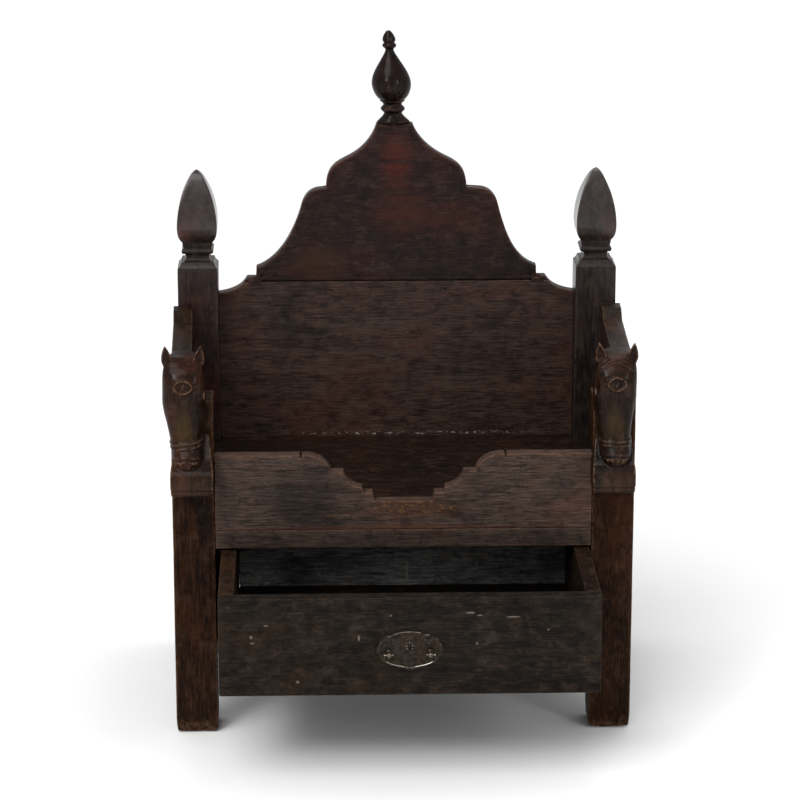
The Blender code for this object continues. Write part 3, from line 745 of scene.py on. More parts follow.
# The arms: each bar and the horse head at its end are carved from one piece of the same dark wood. The
# bar has a hump at the post and rises to the head, which hangs in front of the leg over a bracket.
# Hands have polished the brow, the nose and the ears, and dirt lies in every cut.
arm_height = 0.620
arm_underside = 0.570
arm_thickness = 0.033
arm_outset_front = 0.016
arm_outset_back = 0.0255
hump_rise = 0.014
hump_length = 0.037
hump_slope = 0.030
poll_height = 0.645
poll_rise = poll_height - arm_height
neck_length = 0.145
head_height = 0.175
head_outset = 0.0065
mouth_height = poll_height - head_height
block_height = 0.046
block_depth = 0.055
leg_front = leg_low.y
leg_centre = (leg_low.x + leg_high.x) / -2
carving_voxel = 0.00118
head_leans = {-1: -0.0058, 1: -0.0053}
muzzle_shifts = {-1: -0.0030, 1: -0.0022}
block_shifts = {-1: 0.0, 1: -0.0035}
section_pivot = 0.035
eye_level = 0.757
eye_half_width = 0.0125
eye_half_height = 0.0102
eyeball_half_width = 0.0108
eyeball_half_height = 0.0086
eyeball_depth = 0.0010
brow_half_width = 0.027
cheek_level = 0.56
cheek_reach = 0.10
cheek_rise = 0.0018
nose_low = 0.27
nose_high = 0.66
nostril_side = 0.0112
nostril_level = 0.052
cord_half_height = 0.0125
cord_rise = 0.0024
ear_length = 0.043
ear_half_width = 0.0102
ear_thickness = 0.0058
ear_hollow = 0.0068
ear_side = 0.0222
ear_splay = 0.0066
ear_foot = poll_height - 0.0235
tool_depth = 0.00022
strand_depth = 0.00060
leg_contact = leg_front - 0.0003
head_rows = (
    (-0.030, 0.255, 0.118), (-0.012, 0.275, 0.132), (0.000, 0.284, 0.139), (0.012, 0.291, 0.144),
    (0.030, 0.298, 0.149), (0.069, 0.304, 0.153), (0.110, 0.296, 0.152), (0.145, 0.272, 0.148),
    (0.175, 0.250, 0.147), (0.215, 0.240, 0.148), (0.262, 0.228, 0.152), (0.320, 0.216, 0.158),
    (0.380, 0.207, 0.166), (0.440, 0.201, 0.174), (0.500, 0.199, 0.180), (0.565, 0.204, 0.187),
    (0.629, 0.212, 0.192), (0.690, 0.216, 0.194), (0.743, 0.216, 0.195), (0.790, 0.208, 0.194),
    (0.830, 0.195, 0.192), (0.875, 0.172, 0.187), (0.914, 0.142, 0.178), (0.950, 0.106, 0.166),
    (0.975, 0.078, 0.152), (0.992, 0.052, 0.130), (1.000, 0.040, 0.104),
)
block_rows = (
    (-0.06, 0.780, 0.930), (0.00, 0.880, 0.950), (0.06, 0.935, 0.965), (0.12, 0.965, 0.975),
    (0.17, 0.980, 0.985), (0.20, 0.985, 0.990), (0.22, 0.930, 0.965), (0.25, 0.930, 0.965),
    (0.27, 0.990, 0.992), (0.32, 1.000, 1.000), (0.50, 0.995, 1.000), (0.78, 0.965, 1.000),
    (0.90, 0.900, 0.990), (1.00, 0.815, 0.971), (1.12, 0.680, 0.945), (1.26, 0.545, 0.920),
    (1.50, 0.380, 0.880), (1.74, 0.255, 0.840), (2.00, 0.073, 0.768),
)


def from_rows(rows, height):
    """The two values of the rows at a height between them."""
    levels = [row[0] for row in rows]
    return tuple(float(np.interp(height, levels, [row[i] for row in rows])) for i in (1, 2))


def bell(away, width):
    """A bell curve, one in the middle and falling off over a width."""
    return math.exp(-((away / width) ** 2))


def head_place(side, height):
    """Middle X of the head's section at a share of its height, its reach to the front, half width."""
    depth, half = from_rows(head_rows, height)
    upright = side * (leg_centre + head_outset * (0.4 + 0.6 * height))
    lean = head_leans[side] * min(1.0, max(0.0, height) * 2.2)
    centre = upright + muzzle_shifts[side] * (1 - height) + lean
    return centre, head_height * (depth - section_pivot), half * head_height


def on_face(side, across, height, proud=0.0):
    """A point on the front of the head, by its distance from the middle and its share of the height."""
    centre, reach, half = head_place(side, height)
    open_share = max(0.0, 1.0 - min(1.0, abs(across) / half) ** 2.5) ** 0.4
    front = leg_front - head_height * section_pivot - reach * open_share - proud
    return Vector((centre + across, front, mouth_height + head_height * height))


def press_balls(bm, points, radius):
    """A ridge or a lump, as balls along a line, which the carving's remesh melts into one."""
    for point in points:
        bmesh.ops.create_icosphere(bm, subdivisions=2, radius=radius, matrix=Matrix.Translation(point))


def neighbour_mean(values, pairs, counts):
    """Each point's mean over its neighbours."""
    total = np.zeros_like(values)
    np.add.at(total, pairs[:, 0], values[pairs[:, 1]])
    np.add.at(total, pairs[:, 1], values[pairs[:, 0]])
    return total / (counts if values.ndim == 1 else counts[:, None])


def mark_cavities(mesh, spread=3, strength=1.0):
    """Marks what stands out as worn and what lies in a cut as grimy, from the surface's bend."""
    count = len(mesh.vertices)
    points = np.empty(count * 3)
    mesh.vertices.foreach_get("co", points)
    points = points.reshape(-1, 3)
    normals = np.empty(count * 3)
    mesh.vertices.foreach_get("normal", normals)
    normals = normals.reshape(-1, 3)
    pairs = np.empty(len(mesh.edges) * 2, np.int64)
    mesh.edges.foreach_get("vertices", pairs)
    pairs = pairs.reshape(-1, 2)
    counts = np.bincount(pairs.ravel(), minlength=count).clip(1)
    lengths = np.linalg.norm(points[pairs[:, 0]] - points[pairs[:, 1]], axis=1).mean()
    around = points
    for _ in range(spread):
        around = neighbour_mean(around, pairs, counts)
    bulge = -((around - points) * normals).sum(1) / lengths
    for _ in range(2):
        bulge = neighbour_mean(bulge, pairs, counts)
    for name, values in (("wear_and_highlight", bulge), ("grime", -bulge)):
        layer = mesh.attributes.get(name) or mesh.attributes.new(name, "FLOAT", "POINT")
        layer.data.foreach_set("value", np.clip(values * strength - 0.15, 0.0, 1.0).astype(np.float32))


def shown_mesh(obj):
    """A mesh of the object as its modifiers leave it."""
    graph = bpy.context.evaluated_depsgraph_get()
    return bpy.data.meshes.new_from_object(obj.evaluated_get(graph))


def carve(name, bm, voxel, smoothing):
    """One closed skin over all that the bmesh holds."""
    obj = put_in(name + " rough", mesh_from(name + " rough", bm))
    remesh = obj.modifiers.new("one skin", "REMESH")
    remesh.mode = "VOXEL"
    remesh.voxel_size = voxel
    mesh = shown_mesh(obj)
    bpy.data.objects.remove(obj, do_unlink=True)
    skin = bmesh.new()
    skin.from_mesh(mesh)
    for _ in range(smoothing):
        bmesh.ops.smooth_vert(
            skin, verts=skin.verts, factor=0.5, use_axis_x=True, use_axis_y=True, use_axis_z=True
        )
    bpy.data.meshes.remove(mesh)
    return skin


def join_in(bm, part):
    """Adds one bmesh's shapes to another's."""
    mesh = mesh_from("part", part)
    bm.from_mesh(mesh)
    bpy.data.meshes.remove(mesh)


def split_upright(part, cuts):
    """Splits the upright edges of a form one metre high."""
    runs = [e for e in part.edges if abs(e.verts[0].co.z - e.verts[1].co.z) > 0.5]
    bmesh.ops.subdivide_edges(part, edges=runs, cuts=cuts)


def add_head(bm, side):
    """The head's body, its cords, brow, ears and eyes, as overlapping shapes."""
    pivot = leg_front - head_height * section_pivot
    cord_levels = ((0.186, 0.020), (0.226, 0.018)) if side < 0 else ((0.180, 0.0), (0.216, 0.0))
    body = bmesh.new()
    bmesh.ops.create_cone(body, cap_ends=True, segments=72, radius1=1.0, radius2=1.0, depth=1.0)
    split_upright(body, 130)
    for vert in body.verts:
        height = -0.030 + 1.030 * min(1.0, max(0.0, vert.co.z + 0.5))
        angle = math.atan2(vert.co.x, -vert.co.y)
        centre, reach, half = head_place(side, height)
        ridge = 0.0
        for level, tilt in cord_levels:
            off = (height - level - tilt * math.sin(angle)) / cord_half_height
            swell = max(0.0, 1 - off**2) ** 0.5
            ridge = max(ridge, cord_rise * swell * (1.0 - 0.35 * bell(off, 0.25)))
        cheek = cheek_rise * bell(height - cheek_level, cheek_reach) * abs(math.sin(angle)) ** 3
        across = math.copysign(abs(math.sin(angle)) ** 0.8, math.sin(angle))
        along = abs(math.cos(angle)) ** 0.8
        back = leg_front + 0.040 if height > 0.58 else leg_contact
        front_half = math.cos(angle) > 0
        vert.co = (
            centre + (half + ridge + cheek) * across,
            pivot - (reach + ridge) * along if front_half else pivot + (back - pivot) * along,
            mouth_height + head_height * height,
        )
    join_in(bm, body)
    centre = head_place(side, 0.95)[0]
    for outward in (-1, 1):
        ear = bmesh.ops.create_uvsphere(bm, u_segments=28, v_segments=36, radius=1.0)
        for vert in ear["verts"]:
            up = (vert.co.z + 1) / 2
            ring = max(1e-6, math.sqrt(max(0.0, 1 - vert.co.z**2)))
            leaf = ear_half_width * min(1.0, 0.55 + 1.2 * up)
            leaf *= max(0.0, 1 - max(0.0, (up - 0.42) / 0.58) ** 1.6)
            leaf *= min(1.0, ring * 3.0)
            across = vert.co.x / ring
            inner = max(0.0, 1 - (across / 0.80) ** 2)
            facing = vert.co.y < 0
            hollow = ear_hollow * inner * math.sin(math.pi * min(1.0, up / 0.94)) ** 0.6 if facing else 0.0
            rise = ear_length * up
            skin_depth = ear_thickness * vert.co.y / ring * min(1.0, ring * 2)
            vert.co = (
                centre + outward * (ear_side + ear_splay * up) + leaf * across * (0.92 if facing else 1.0),
                leg_front - 0.0125 + skin_depth + hollow + 0.12 * rise
                + outward * across * 0.0022,
                ear_foot + rise,
            )
    ring = []
    lids = []
    for step in range(52):
        turn = 2 * math.pi * step / 52
        corner = abs(math.cos(turn)) ** 3
        across = eye_half_width * math.cos(turn) * (1 + 0.12 * corner)
        share = eye_level + eye_half_height / head_height * math.sin(turn)
        ring.append(on_face(side, across, share, 0.0009))
    for outward in (-1, 1):
        for step in range(10):
            away = 0.0130 + 0.0080 * step / 9
            for lift in (-1, 1):
                share = eye_level + lift * 0.034 * (1 - step / 9) ** 1.4
                lids.append(on_face(side, outward * away, share, -0.0003))
    press_balls(bm, ring, 0.0020)
    press_balls(bm, lids, 0.0013)
    slit = [on_face(side, 0.0007 * step, eye_level + 0.0065 * step, 0.0001) for step in range(-5, 6)]
    press_balls(bm, slit, 0.0011)
    if side > 0:
        for level, radius in ((0.958, 0.0015), (0.934, 0.0013)):
            arch = [
                on_face(side, brow_half_width * step / 20, level - 0.075 * (step / 20) ** 2, 0.0)
                for step in range(-20, 21)
            ]
            press_balls(bm, arch, radius)
    side_x = head_place(side, 0.66)[0] - side * (head_height * 0.186 + 0.0004)
    loop = [
        Vector((
            side_x,
            leg_front - 0.0175 + 0.0078 * math.cos(2 * math.pi * step / 26),
            poll_height - 0.0600 + 0.0066 * math.sin(2 * math.pi * step / 26),
        ))
        for step in range(26)
    ]
    press_balls(bm, loop, 0.0016)
    for outward in (-1, 1):
        nostril = [
            on_face(
                side, outward * (nostril_side + 0.0011 * step), nostril_level + 0.004 * abs(step), -0.0006
            )
            for step in range(-2, 3)
        ]
        press_balls(bm, nostril, 0.0027)
    teeth = [on_face(side, 0.0023 * step, 0.036 + 0.003 * abs(step) / 3, -0.0006) for step in range(-3, 4)]
    press_balls(bm, teeth, 0.0015)


def add_block(bm, side):
    """The bracket under the muzzle, its foot a rounded moulding."""
    block = bmesh.new()
    bmesh.ops.create_cube(block, size=1.0)
    split_upright(block, 120)
    for vert in block.verts:
        height = -0.06 + 2.06 * min(1.0, max(0.0, vert.co.z + 0.5))
        depth, width = from_rows(block_rows, height)
        front = leg_front - block_depth * depth
        vert.co = (
            side * leg_centre + block_shifts[side] + vert.co.x * width * leg_side,
            front if vert.co.y < 0 else leg_contact,
            mouth_height - block_height + block_height * height,
        )
    join_in(bm, block)


def add_bar(bm, side):
    """The bar from the side, as thick as an arm is wide, and turned a little out from the seat."""
    front = leg_front - 0.010
    back = post_front - 0.0003
    hump_top = arm_height + hump_rise
    nape = (front + 0.083 * neck_length, poll_height - 0.16 * poll_rise)
    neck_foot = front + neck_length
    points = [
        (back, arm_underside), (back, hump_top - 0.003), (back - 0.003, hump_top),
        (back - hump_length, hump_top), (back - hump_length - hump_slope, arm_height),
    ]
    points += bend(
        (neck_foot, arm_height), (neck_foot - 0.345 * neck_length, arm_height),
        (front + 0.414 * neck_length, poll_height - 0.08 * poll_rise), nape, 16,
    )
    points += [nape, (front, poll_height - 0.80 * poll_rise), (front, arm_underside)]
    ring = [bm.verts.new((-arm_thickness / 2, y - front, z)) for y, z in points]
    made = bmesh.ops.extrude_face_region(bm, geom=[bm.faces.new(ring)])
    moved = [item for item in made["geom"] if isinstance(item, bmesh.types.BMVert)]
    bmesh.ops.translate(bm, vec=(arm_thickness, 0.0, 0.0), verts=moved)
    slant = math.atan2(arm_outset_back - arm_outset_front, back - front)
    placed = Matrix.Translation((side * (leg_centre + arm_outset_front), front, 0.0))
    placed = placed @ Matrix.Rotation(-side * slant, 4, "Z")
    bmesh.ops.transform(bm, matrix=placed, verts=ring + moved)


for number, (hand, side) in enumerate((("left", -1), ("right", 1))):
    bm = bmesh.new()
    add_bar(bm, side)
    add_head(bm, side)
    add_block(bm, side)
    face_outwards(bm)
    skin = carve("arm " + hand, bm, carving_voxel, 2)
    skin.normal_update()
    lip = [on_face(side, 0.024 * step / 12, 0.088 - 0.020 * (step / 12) ** 2) for step in range(-12, 13)]
    pits = [on_face(side, outward * nostril_side, nostril_level) for outward in (-1, 1)]
    near_mouth = [
        v for v in skin.verts if v.co.z < mouth_height + 0.15 * head_height and v.co.y < leg_front - 0.03
    ]
    for vert in near_mouth:
        for cut, reach, deep in ((lip, 0.0020, 0.0011), (pits, 0.0026, 0.0018)):
            nearest = min((vert.co - point).length for point in cut)
            if nearest < reach:
                vert.co -= vert.normal * deep * (1 - (nearest / reach) ** 2)
    eye_centre = on_face(side, 0.0, eye_level)
    for vert in skin.verts:
        across = (vert.co.x - eye_centre.x) / eyeball_half_width
        up = (vert.co.z - eye_centre.z) / eyeball_half_height
        inside = 1 - across**2 - up**2
        if inside > 0 and abs(across) > 0.16 and vert.co.y < eye_centre.y + 0.01:
            vert.co.y += eyeball_depth * inside**0.5
    shift = Vector((number * 5.0, 0.0, 0.0))
    for vert in skin.verts:
        in_front = vert.co.y < leg_front
        height = (vert.co.z - mouth_height) / head_height
        tool = noise.noise(Vector((vert.co.x * 95, vert.co.y * 95, vert.co.z * 40)) + shift)
        depth = tool_depth * (0.5 + 0.5 * tool)
        if in_front and nose_low < height < nose_high:
            strand = noise.noise(Vector((vert.co.x * 620, 1.0, vert.co.z * 26)) + shift)
            depth += strand_depth * max(0.0, strand)
        vert.co -= vert.normal * depth
    head_x = head_place(side, 0.5)[0]
    head_wood = stained_timber(
        "head_wood_" + hand, "Z", "#100906", "#28180d", "#37190d", "#80604a", 91.0 + number,
        gloss=(0.26, 0.46), relief=0.0002, grime=0.90, dust_and_sheen=0.05, coat=0.15, rub=0.80, specular=0.02,
        patches=(
            ((head_x, leg_front - 0.03, poll_height), (0.050, 0.08, 0.032), "#38160c", 0.45),
            ((head_x, leg_front - 0.05, mouth_height + 0.062), (0.026, 0.06, 0.050), "#46371f", 0.40),
            ((head_x, leg_front - 0.05, mouth_height - 0.030), (0.050, 0.06, 0.034), "#50392a", 0.32),
        ),
        specks=(
            ((head_x, leg_front - 0.045, mouth_height + 0.007), (0.024, 0.05, 0.007), "#745230", 0.55),
        ),
    )
    bar_wood = stained_timber(
        "bar_wood_" + hand, "Y", "#130c07", "#2b1e13", "#371d0e", "#6c5642", 95.0 + number,
        gloss=(0.36, 0.58), relief=0.0003, grime=0.6, dust_and_sheen=0.12, coat=0.02, specular=(0.05, 0.14)[number],
    )
    arm = mesh_object("carved_arm_" + hand, skin, head_wood, "frame")
    arm.data.materials.append(bar_wood)
    for face in arm.data.polygons:
        if face.center.y > leg_front + 0.012:
            face.material_index = 1
    mark_cavities(arm.data, spread=4, strength=2.3)
    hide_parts("arm_" + hand)

# The finial: turned from one piece, an acorn over a drop with beads between, its foot pared flat to
# the plank. It is the most polished piece; the chip on the left of its tip is not carved, and the whole
# finial leans a little to the left.
finial_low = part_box("crest_finial")[0]
finial_height = 0.158
finial_foot_depth = 0.018
finial_lean = math.radians(3.1)
finial_levels = (
    (1.000, 0.060), (0.996, 0.110), (0.985, 0.150), (0.970, 0.205), (0.955, 0.250), (0.930, 0.305),
    (0.907, 0.332), (0.893, 0.330), (0.882, 0.305), (0.874, 0.272), (0.868, 0.270), (0.860, 0.305),
    (0.852, 0.338), (0.843, 0.356), (0.834, 0.354), (0.825, 0.328), (0.816, 0.280), (0.806, 0.232),
    (0.795, 0.212), (0.782, 0.222), (0.762, 0.262), (0.738, 0.325), (0.710, 0.405), (0.680, 0.490),
    (0.650, 0.578), (0.618, 0.672), (0.585, 0.762), (0.550, 0.848), (0.515, 0.918), (0.482, 0.966),
    (0.450, 0.992), (0.422, 1.000), (0.395, 0.988), (0.365, 0.957), (0.337, 0.910), (0.310, 0.848),
    (0.288, 0.780), (0.270, 0.706), (0.262, 0.668), (0.259, 0.640), (0.252, 0.632), (0.244, 0.632),
    (0.238, 0.622), (0.232, 0.560), (0.222, 0.510), (0.205, 0.474), (0.190, 0.490), (0.180, 0.545),
    (0.172, 0.590), (0.160, 0.612), (0.148, 0.612), (0.137, 0.580), (0.128, 0.530), (0.116, 0.475),
    (0.105, 0.458), (0.088, 0.500), (0.070, 0.570), (0.047, 0.680), (0.025, 0.790), (0.014, 0.838),
    (0.008, 0.845), (0.000, 0.840),
)
finial_outline = [(0.0, finial_height - 0.0004)]
finial_outline += [(finial_radius * width, finial_height * height) for height, width in finial_levels]
bm = spin_up(finial_outline + [(0.0, 0.0)], 72)
face_outwards(bm)
skirt_top = 0.105 * finial_height
wear_and_highlight = bm.verts.layers.float.new("wear_and_highlight")
grime = bm.verts.layers.float.new("grime")
bm.normal_update()
for vert in bm.verts:
    bulge = noise.noise(vert.co * 40) * 0.0003
    height = vert.co.z / finial_height
    width = math.hypot(vert.co.x, vert.co.y) / finial_radius
    vert[wear_and_highlight] = max(0.0, noise.noise(vert.co * 90)) * (1.0 if 0.13 < height < 0.27 or height > 0.8 else 0.3)
    vert[grime] = 1.0 if width < 0.30 and 0.77 < height < 0.82 or 0.19 < height < 0.23 else 0.0
    vert.co -= vert.normal * abs(bulge)
    if vert.co.z < skirt_top:
        share = 1 - vert.co.z / skirt_top
        vert.co.y *= 1 - share * (1 - finial_foot_depth / finial_foot_radius)
    vert.co.x -= vert.co.z * math.tan(finial_lean)
finial_x = finial_low.x + finial_radius + 0.422 * finial_height * math.tan(finial_lean)
bmesh.ops.translate(bm, vec=(finial_x, (panel_front + panel_back) / 2, finial_low.z), verts=bm.verts)
finial_wood = stained_timber(
    "finial_wood", "Z", "#0e0705", "#1f100b", "#32140c", "#6d4a38", 71.0, gloss=(0.22, 0.38),
    relief=0.00015, dust_and_sheen=0.03, coat=0.17, specular=0.02,
)
finial = mesh_object("turned_finial", bm, finial_wood, "frame")
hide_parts("crest_finial")

# The drawer: a front board over plain sides, a back and a floor. The front is gone blue-grey and matt,
# the sides' tops are warm brown from rubbing, and the inside is dull with dust and old scratches.
drawer_boards = (
    ("drawer_front", "X", "#14100d", "#241f1a", "#271c13", "#43352a", "grey_wood"),
    ("drawer_side_left", "Y", "#17100b", "#2c1f15", "#382213", "#5c452f", "aged_wood"),
    ("drawer_side_right", "Y", "#17100b", "#2c1f15", "#382213", "#5c452f", "aged_wood"),
    ("drawer_back", "X", "#4a4948", "#868481", "#787268", "#9c9890", "aged_wood"),
    ("drawer_bottom", "X", "#0e0b09", "#1c1813", "#221912", "#3c342a", "aged_wood"),
)
drawer_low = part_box("drawer_front")[0]
drawer_back_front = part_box("drawer_back")[0].y
drawer_marks = {
    "drawer_front": [
        ((x, drawer_low.y, z), (wide, 0.006, tall), "#6c5f54", 0.75)
        for x, z, wide, tall in (
            (-0.2455, 0.253, 0.0030, 0.0040), (-0.2435, 0.243, 0.0045, 0.0018),
            (-0.077, 0.250, 0.0022, 0.0070), (-0.173, 0.178, 0.0034, 0.0034),
            (-0.027, 0.287, 0.0018, 0.0026), (0.108, 0.2395, 0.0026, 0.0026),
            (0.2195, 0.261, 0.0020, 0.0022), (0.098, 0.2905, 0.0100, 0.0022),
            (0.112, 0.286, 0.0060, 0.0018), (0.165, 0.283, 0.0150, 0.0018),
            (-0.222, 0.272, 0.0050, 0.0016),
        )
    ],
    "drawer_back": [
        ((-0.008, drawer_back_front, 0.245), (0.0016, 0.02, 0.030), "#77736c", 0.85),
        ((0.0105, drawer_back_front, 0.222), (0.0020, 0.02, 0.024), "#8b867e", 0.90),
    ],
}
for number, (node, grain, dark, middle_tone, warm, worn, slot) in enumerate(drawer_boards):
    low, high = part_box(node)
    timber = stained_timber(
        node + "_wood", grain, dark, middle_tone, warm, worn, 81.0 + number, gloss=(0.48, 0.70),
        marks=drawer_marks.get(node, ()), dust_and_sheen=0.14 if node == "drawer_front" else 0.10, specular=0.05,
    )
    plank = old_board(
        node + "_board", low, high, timber, 81.0 + number, 0.007, body="drawer",
        arris=0.0015 if node == "drawer_bottom" else 0.0018, wander=0.0003,
    )
    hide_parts(node)

# The handle's backplate: thin cast brass with a scalloped edge, a bead along it, a volute in each
# shoulder, flutes below and a small rosette in the middle. It has gone nearly black. What stands out
# is paler, partly rubbed and partly painted highlight, which is strongest towards the top and on the
# rosette.
plate_low, plate_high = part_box("handle_backplate")
plate_middle = (plate_low + plate_high) / 2
plate_half_width = (plate_high.x - plate_low.x) / 2
plate_half_height = (plate_high.z - plate_low.z) / 2
lobe_ends = (-158, -116, -64, -22, 22, 62, 118, 158, 202)
lobe_depth = 0.060
plate_squareness = 0.90
plate_dome = 0.0010
plate_bead = 0.0007
plate_beads = 64
plate_groove = 0.0004
petal_rise = 0.0022
petal_reach = 0.0092
rosette_height = 0.0065
volute_rise = 0.0014
volute_side = 0.0270
volute_height = 0.0150


def dark_brass(name, dark, middle, rubbed_and_highlight, seed, gloss=(0.30, 0.55)):
    """Brass under an old dark skin: mottled brown and grey-green, pale where fingers rub it and where a
    highlight is painted.
    """
    skin_metal = 0.85
    pit_depth = 0.0002
    material, tree, shader = new_material(name)
    shader.inputs["Metallic"].default_value = skin_metal
    coords = add_node(tree, "ShaderNodeTexCoord")
    moved = add_node(
        tree, "ShaderNodeMapping", {"Location": (seed, seed * 2.0, seed * 3.0)},
        {"Vector": coords.outputs["Object"]},
    )
    patterns = []
    for scale, detail, roughness in ((140.0, 5.0, 0.65), (45.0, 4.0, 0.60), (900.0, 2.0, 0.50)):
        cloudy = add_node(
            tree, "ShaderNodeTexNoise", {"Scale": scale, "Detail": detail, "Roughness": roughness},
            {"Vector": moved.outputs["Vector"]},
        )
        patterns.append(cloudy.outputs["Fac"])
    mottle, verdigris, pits = patterns
    layers = [(middle, [(mottle, 0.35, 0.68)], 1.0), ("#2f332d", [(verdigris, 0.52, 0.66)], 0.5)]
    for marking, tone, low, high in (("wear_and_highlight", rubbed_and_highlight, 0.05, 0.65), ("grime", "#070504", 0.0, 0.6)):
        marked = add_node(tree, "ShaderNodeAttribute", {"attribute_name": marking})
        layers.append((tone, [(marked.outputs["Fac"], low, high)], 1.0))
    tree.links.new(layered_colour(tree, dark, layers), shader.inputs["Base Color"])
    rough = add_node(
        tree, "ShaderNodeMapRange",
        {"From Min": 0.3, "From Max": 0.7, "To Min": gloss[0], "To Max": gloss[1]}, {"Value": mottle},
    )
    tree.links.new(rough.outputs["Result"], shader.inputs["Roughness"])
    bump = add_node(
        tree, "ShaderNodeBump", {"Strength": 0.5, "Distance": pit_depth}, {"Height": pits}
    )
    tree.links.new(bump.outputs["Normal"], shader.inputs["Normal"])
    return material


def lobe_reach(angle):
    """The share of the way to the rim at an angle: full in the middle of a lobe, less between two."""
    turn = (math.degrees(angle) - lobe_ends[0]) % 360 + lobe_ends[0]
    for start, end in zip(lobe_ends, lobe_ends[1:]):
        if start <= turn <= end:
            return 1 - lobe_depth * (1 - math.sin(math.pi * (turn - start) / (end - start)) ** 0.6)
    return 1 - lobe_depth


def plate_relief(x, z, ring):
    """How far the cast surface stands out of the plate, from the place and the share of the way out."""
    angle = math.atan2(z, x)
    beads = 0.75 + 0.25 * math.cos(plate_beads * angle)
    out = plate_dome * (1 - ring**2) + plate_bead * beads * bell(ring - 0.92, 0.050)
    out -= plate_groove * bell(ring - 0.82, 0.035)
    away = math.hypot(x, z - rosette_height)
    petals = 0.55 + 0.45 * math.cos(8 * math.atan2(z - rosette_height, x))
    out += petal_rise * petals * max(0.0, 1 - (away / petal_reach) ** 4) * min(1.0, away / 0.003)
    out += 0.0020 * bell(away, 0.0022) + 0.0010 * bell(away - 0.0118, 0.0010)
    for side in (-1, 1):
        away = math.hypot(x - side * volute_side, z - volute_height)
        turn = math.atan2(z - volute_height, side * (x - side * volute_side))
        coil = 0.0064 + 0.0009 * turn
        open_end = max(0.0, min(1.0, (math.pi - abs(turn)) / 0.5))
        out += volute_rise * open_end * bell(away - coil, 0.0012)
        out += volute_rise * bell(away, 0.0019)
        near = math.hypot(x - side * 0.0325, z + 0.0035)
        out -= 0.0006 * bell(near, 0.0060)
    low_share = min(1.0, max(0.0, -z / 0.010))
    out += 0.0006 * low_share * math.cos(22 * angle) * bell(ring - 0.62, 0.14)
    return out


rings_out = 46
steps_round = 288
bm = bmesh.new()
bmesh.ops.create_grid(bm, x_segments=steps_round, y_segments=rings_out, size=0.5)
for vert in bm.verts:
    angle = 2 * math.pi * (vert.co.x + 0.5)
    ring = (vert.co.y + 0.5) * 0.998 + 0.002
    swell = 1 - (1 - lobe_reach(angle)) * ring**3
    across = math.copysign(abs(math.cos(angle)) ** plate_squareness, math.cos(angle))
    up = math.copysign(abs(math.sin(angle)) ** plate_squareness, math.sin(angle))
    x = plate_half_width * ring * swell * across
    z = plate_half_height * ring * swell * up
    vert.co = (plate_middle.x + x, plate_low.y - plate_relief(x, z, ring), plate_middle.z + z)
bmesh.ops.remove_doubles(bm, verts=bm.verts, dist=0.00003)
rim = [edge for edge in bm.edges if edge.is_boundary]
made = bmesh.ops.extrude_edge_only(bm, edges=rim)
for item in made["geom"]:
    if isinstance(item, bmesh.types.BMVert):
        item.co.y = plate_high.y
back_rim = [edge for edge in bm.edges if edge.is_boundary]
bmesh.ops.contextual_create(bm, geom=back_rim)
face_outwards(bm)
plate_brass = dark_brass("plate_brass", "#1d1611", "#3a2f26", "#a59d92", 7.0)
plate = mesh_object("scalloped_plate", bm, plate_brass, "drawer")
mark_cavities(plate.data, spread=3, strength=1.5)
# Painted highlight: the pale rubbed mark is kept in patches of glints, stronger towards the top, where light
# falls, and on the rosette.
layer = plate.data.attributes["wear_and_highlight"]
for vert in plate.data.vertices:
    x = vert.co.x - plate_middle.x
    z = vert.co.z - plate_middle.z
    patchy_glints = min(1.0, max(0.0, 0.5 + 1.8 * noise.noise(vert.co * 130)))
    painted_highlight_high_up = min(0.6, max(0.08, 0.25 + z / 0.040))
    near_rosette = math.hypot(x, z - rosette_height) < 0.013
    value = layer.data[vert.index].value
    layer.data[vert.index].value = value * (0.9 if near_rosette else patchy_glints * painted_highlight_high_up)
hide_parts("handle_backplate")

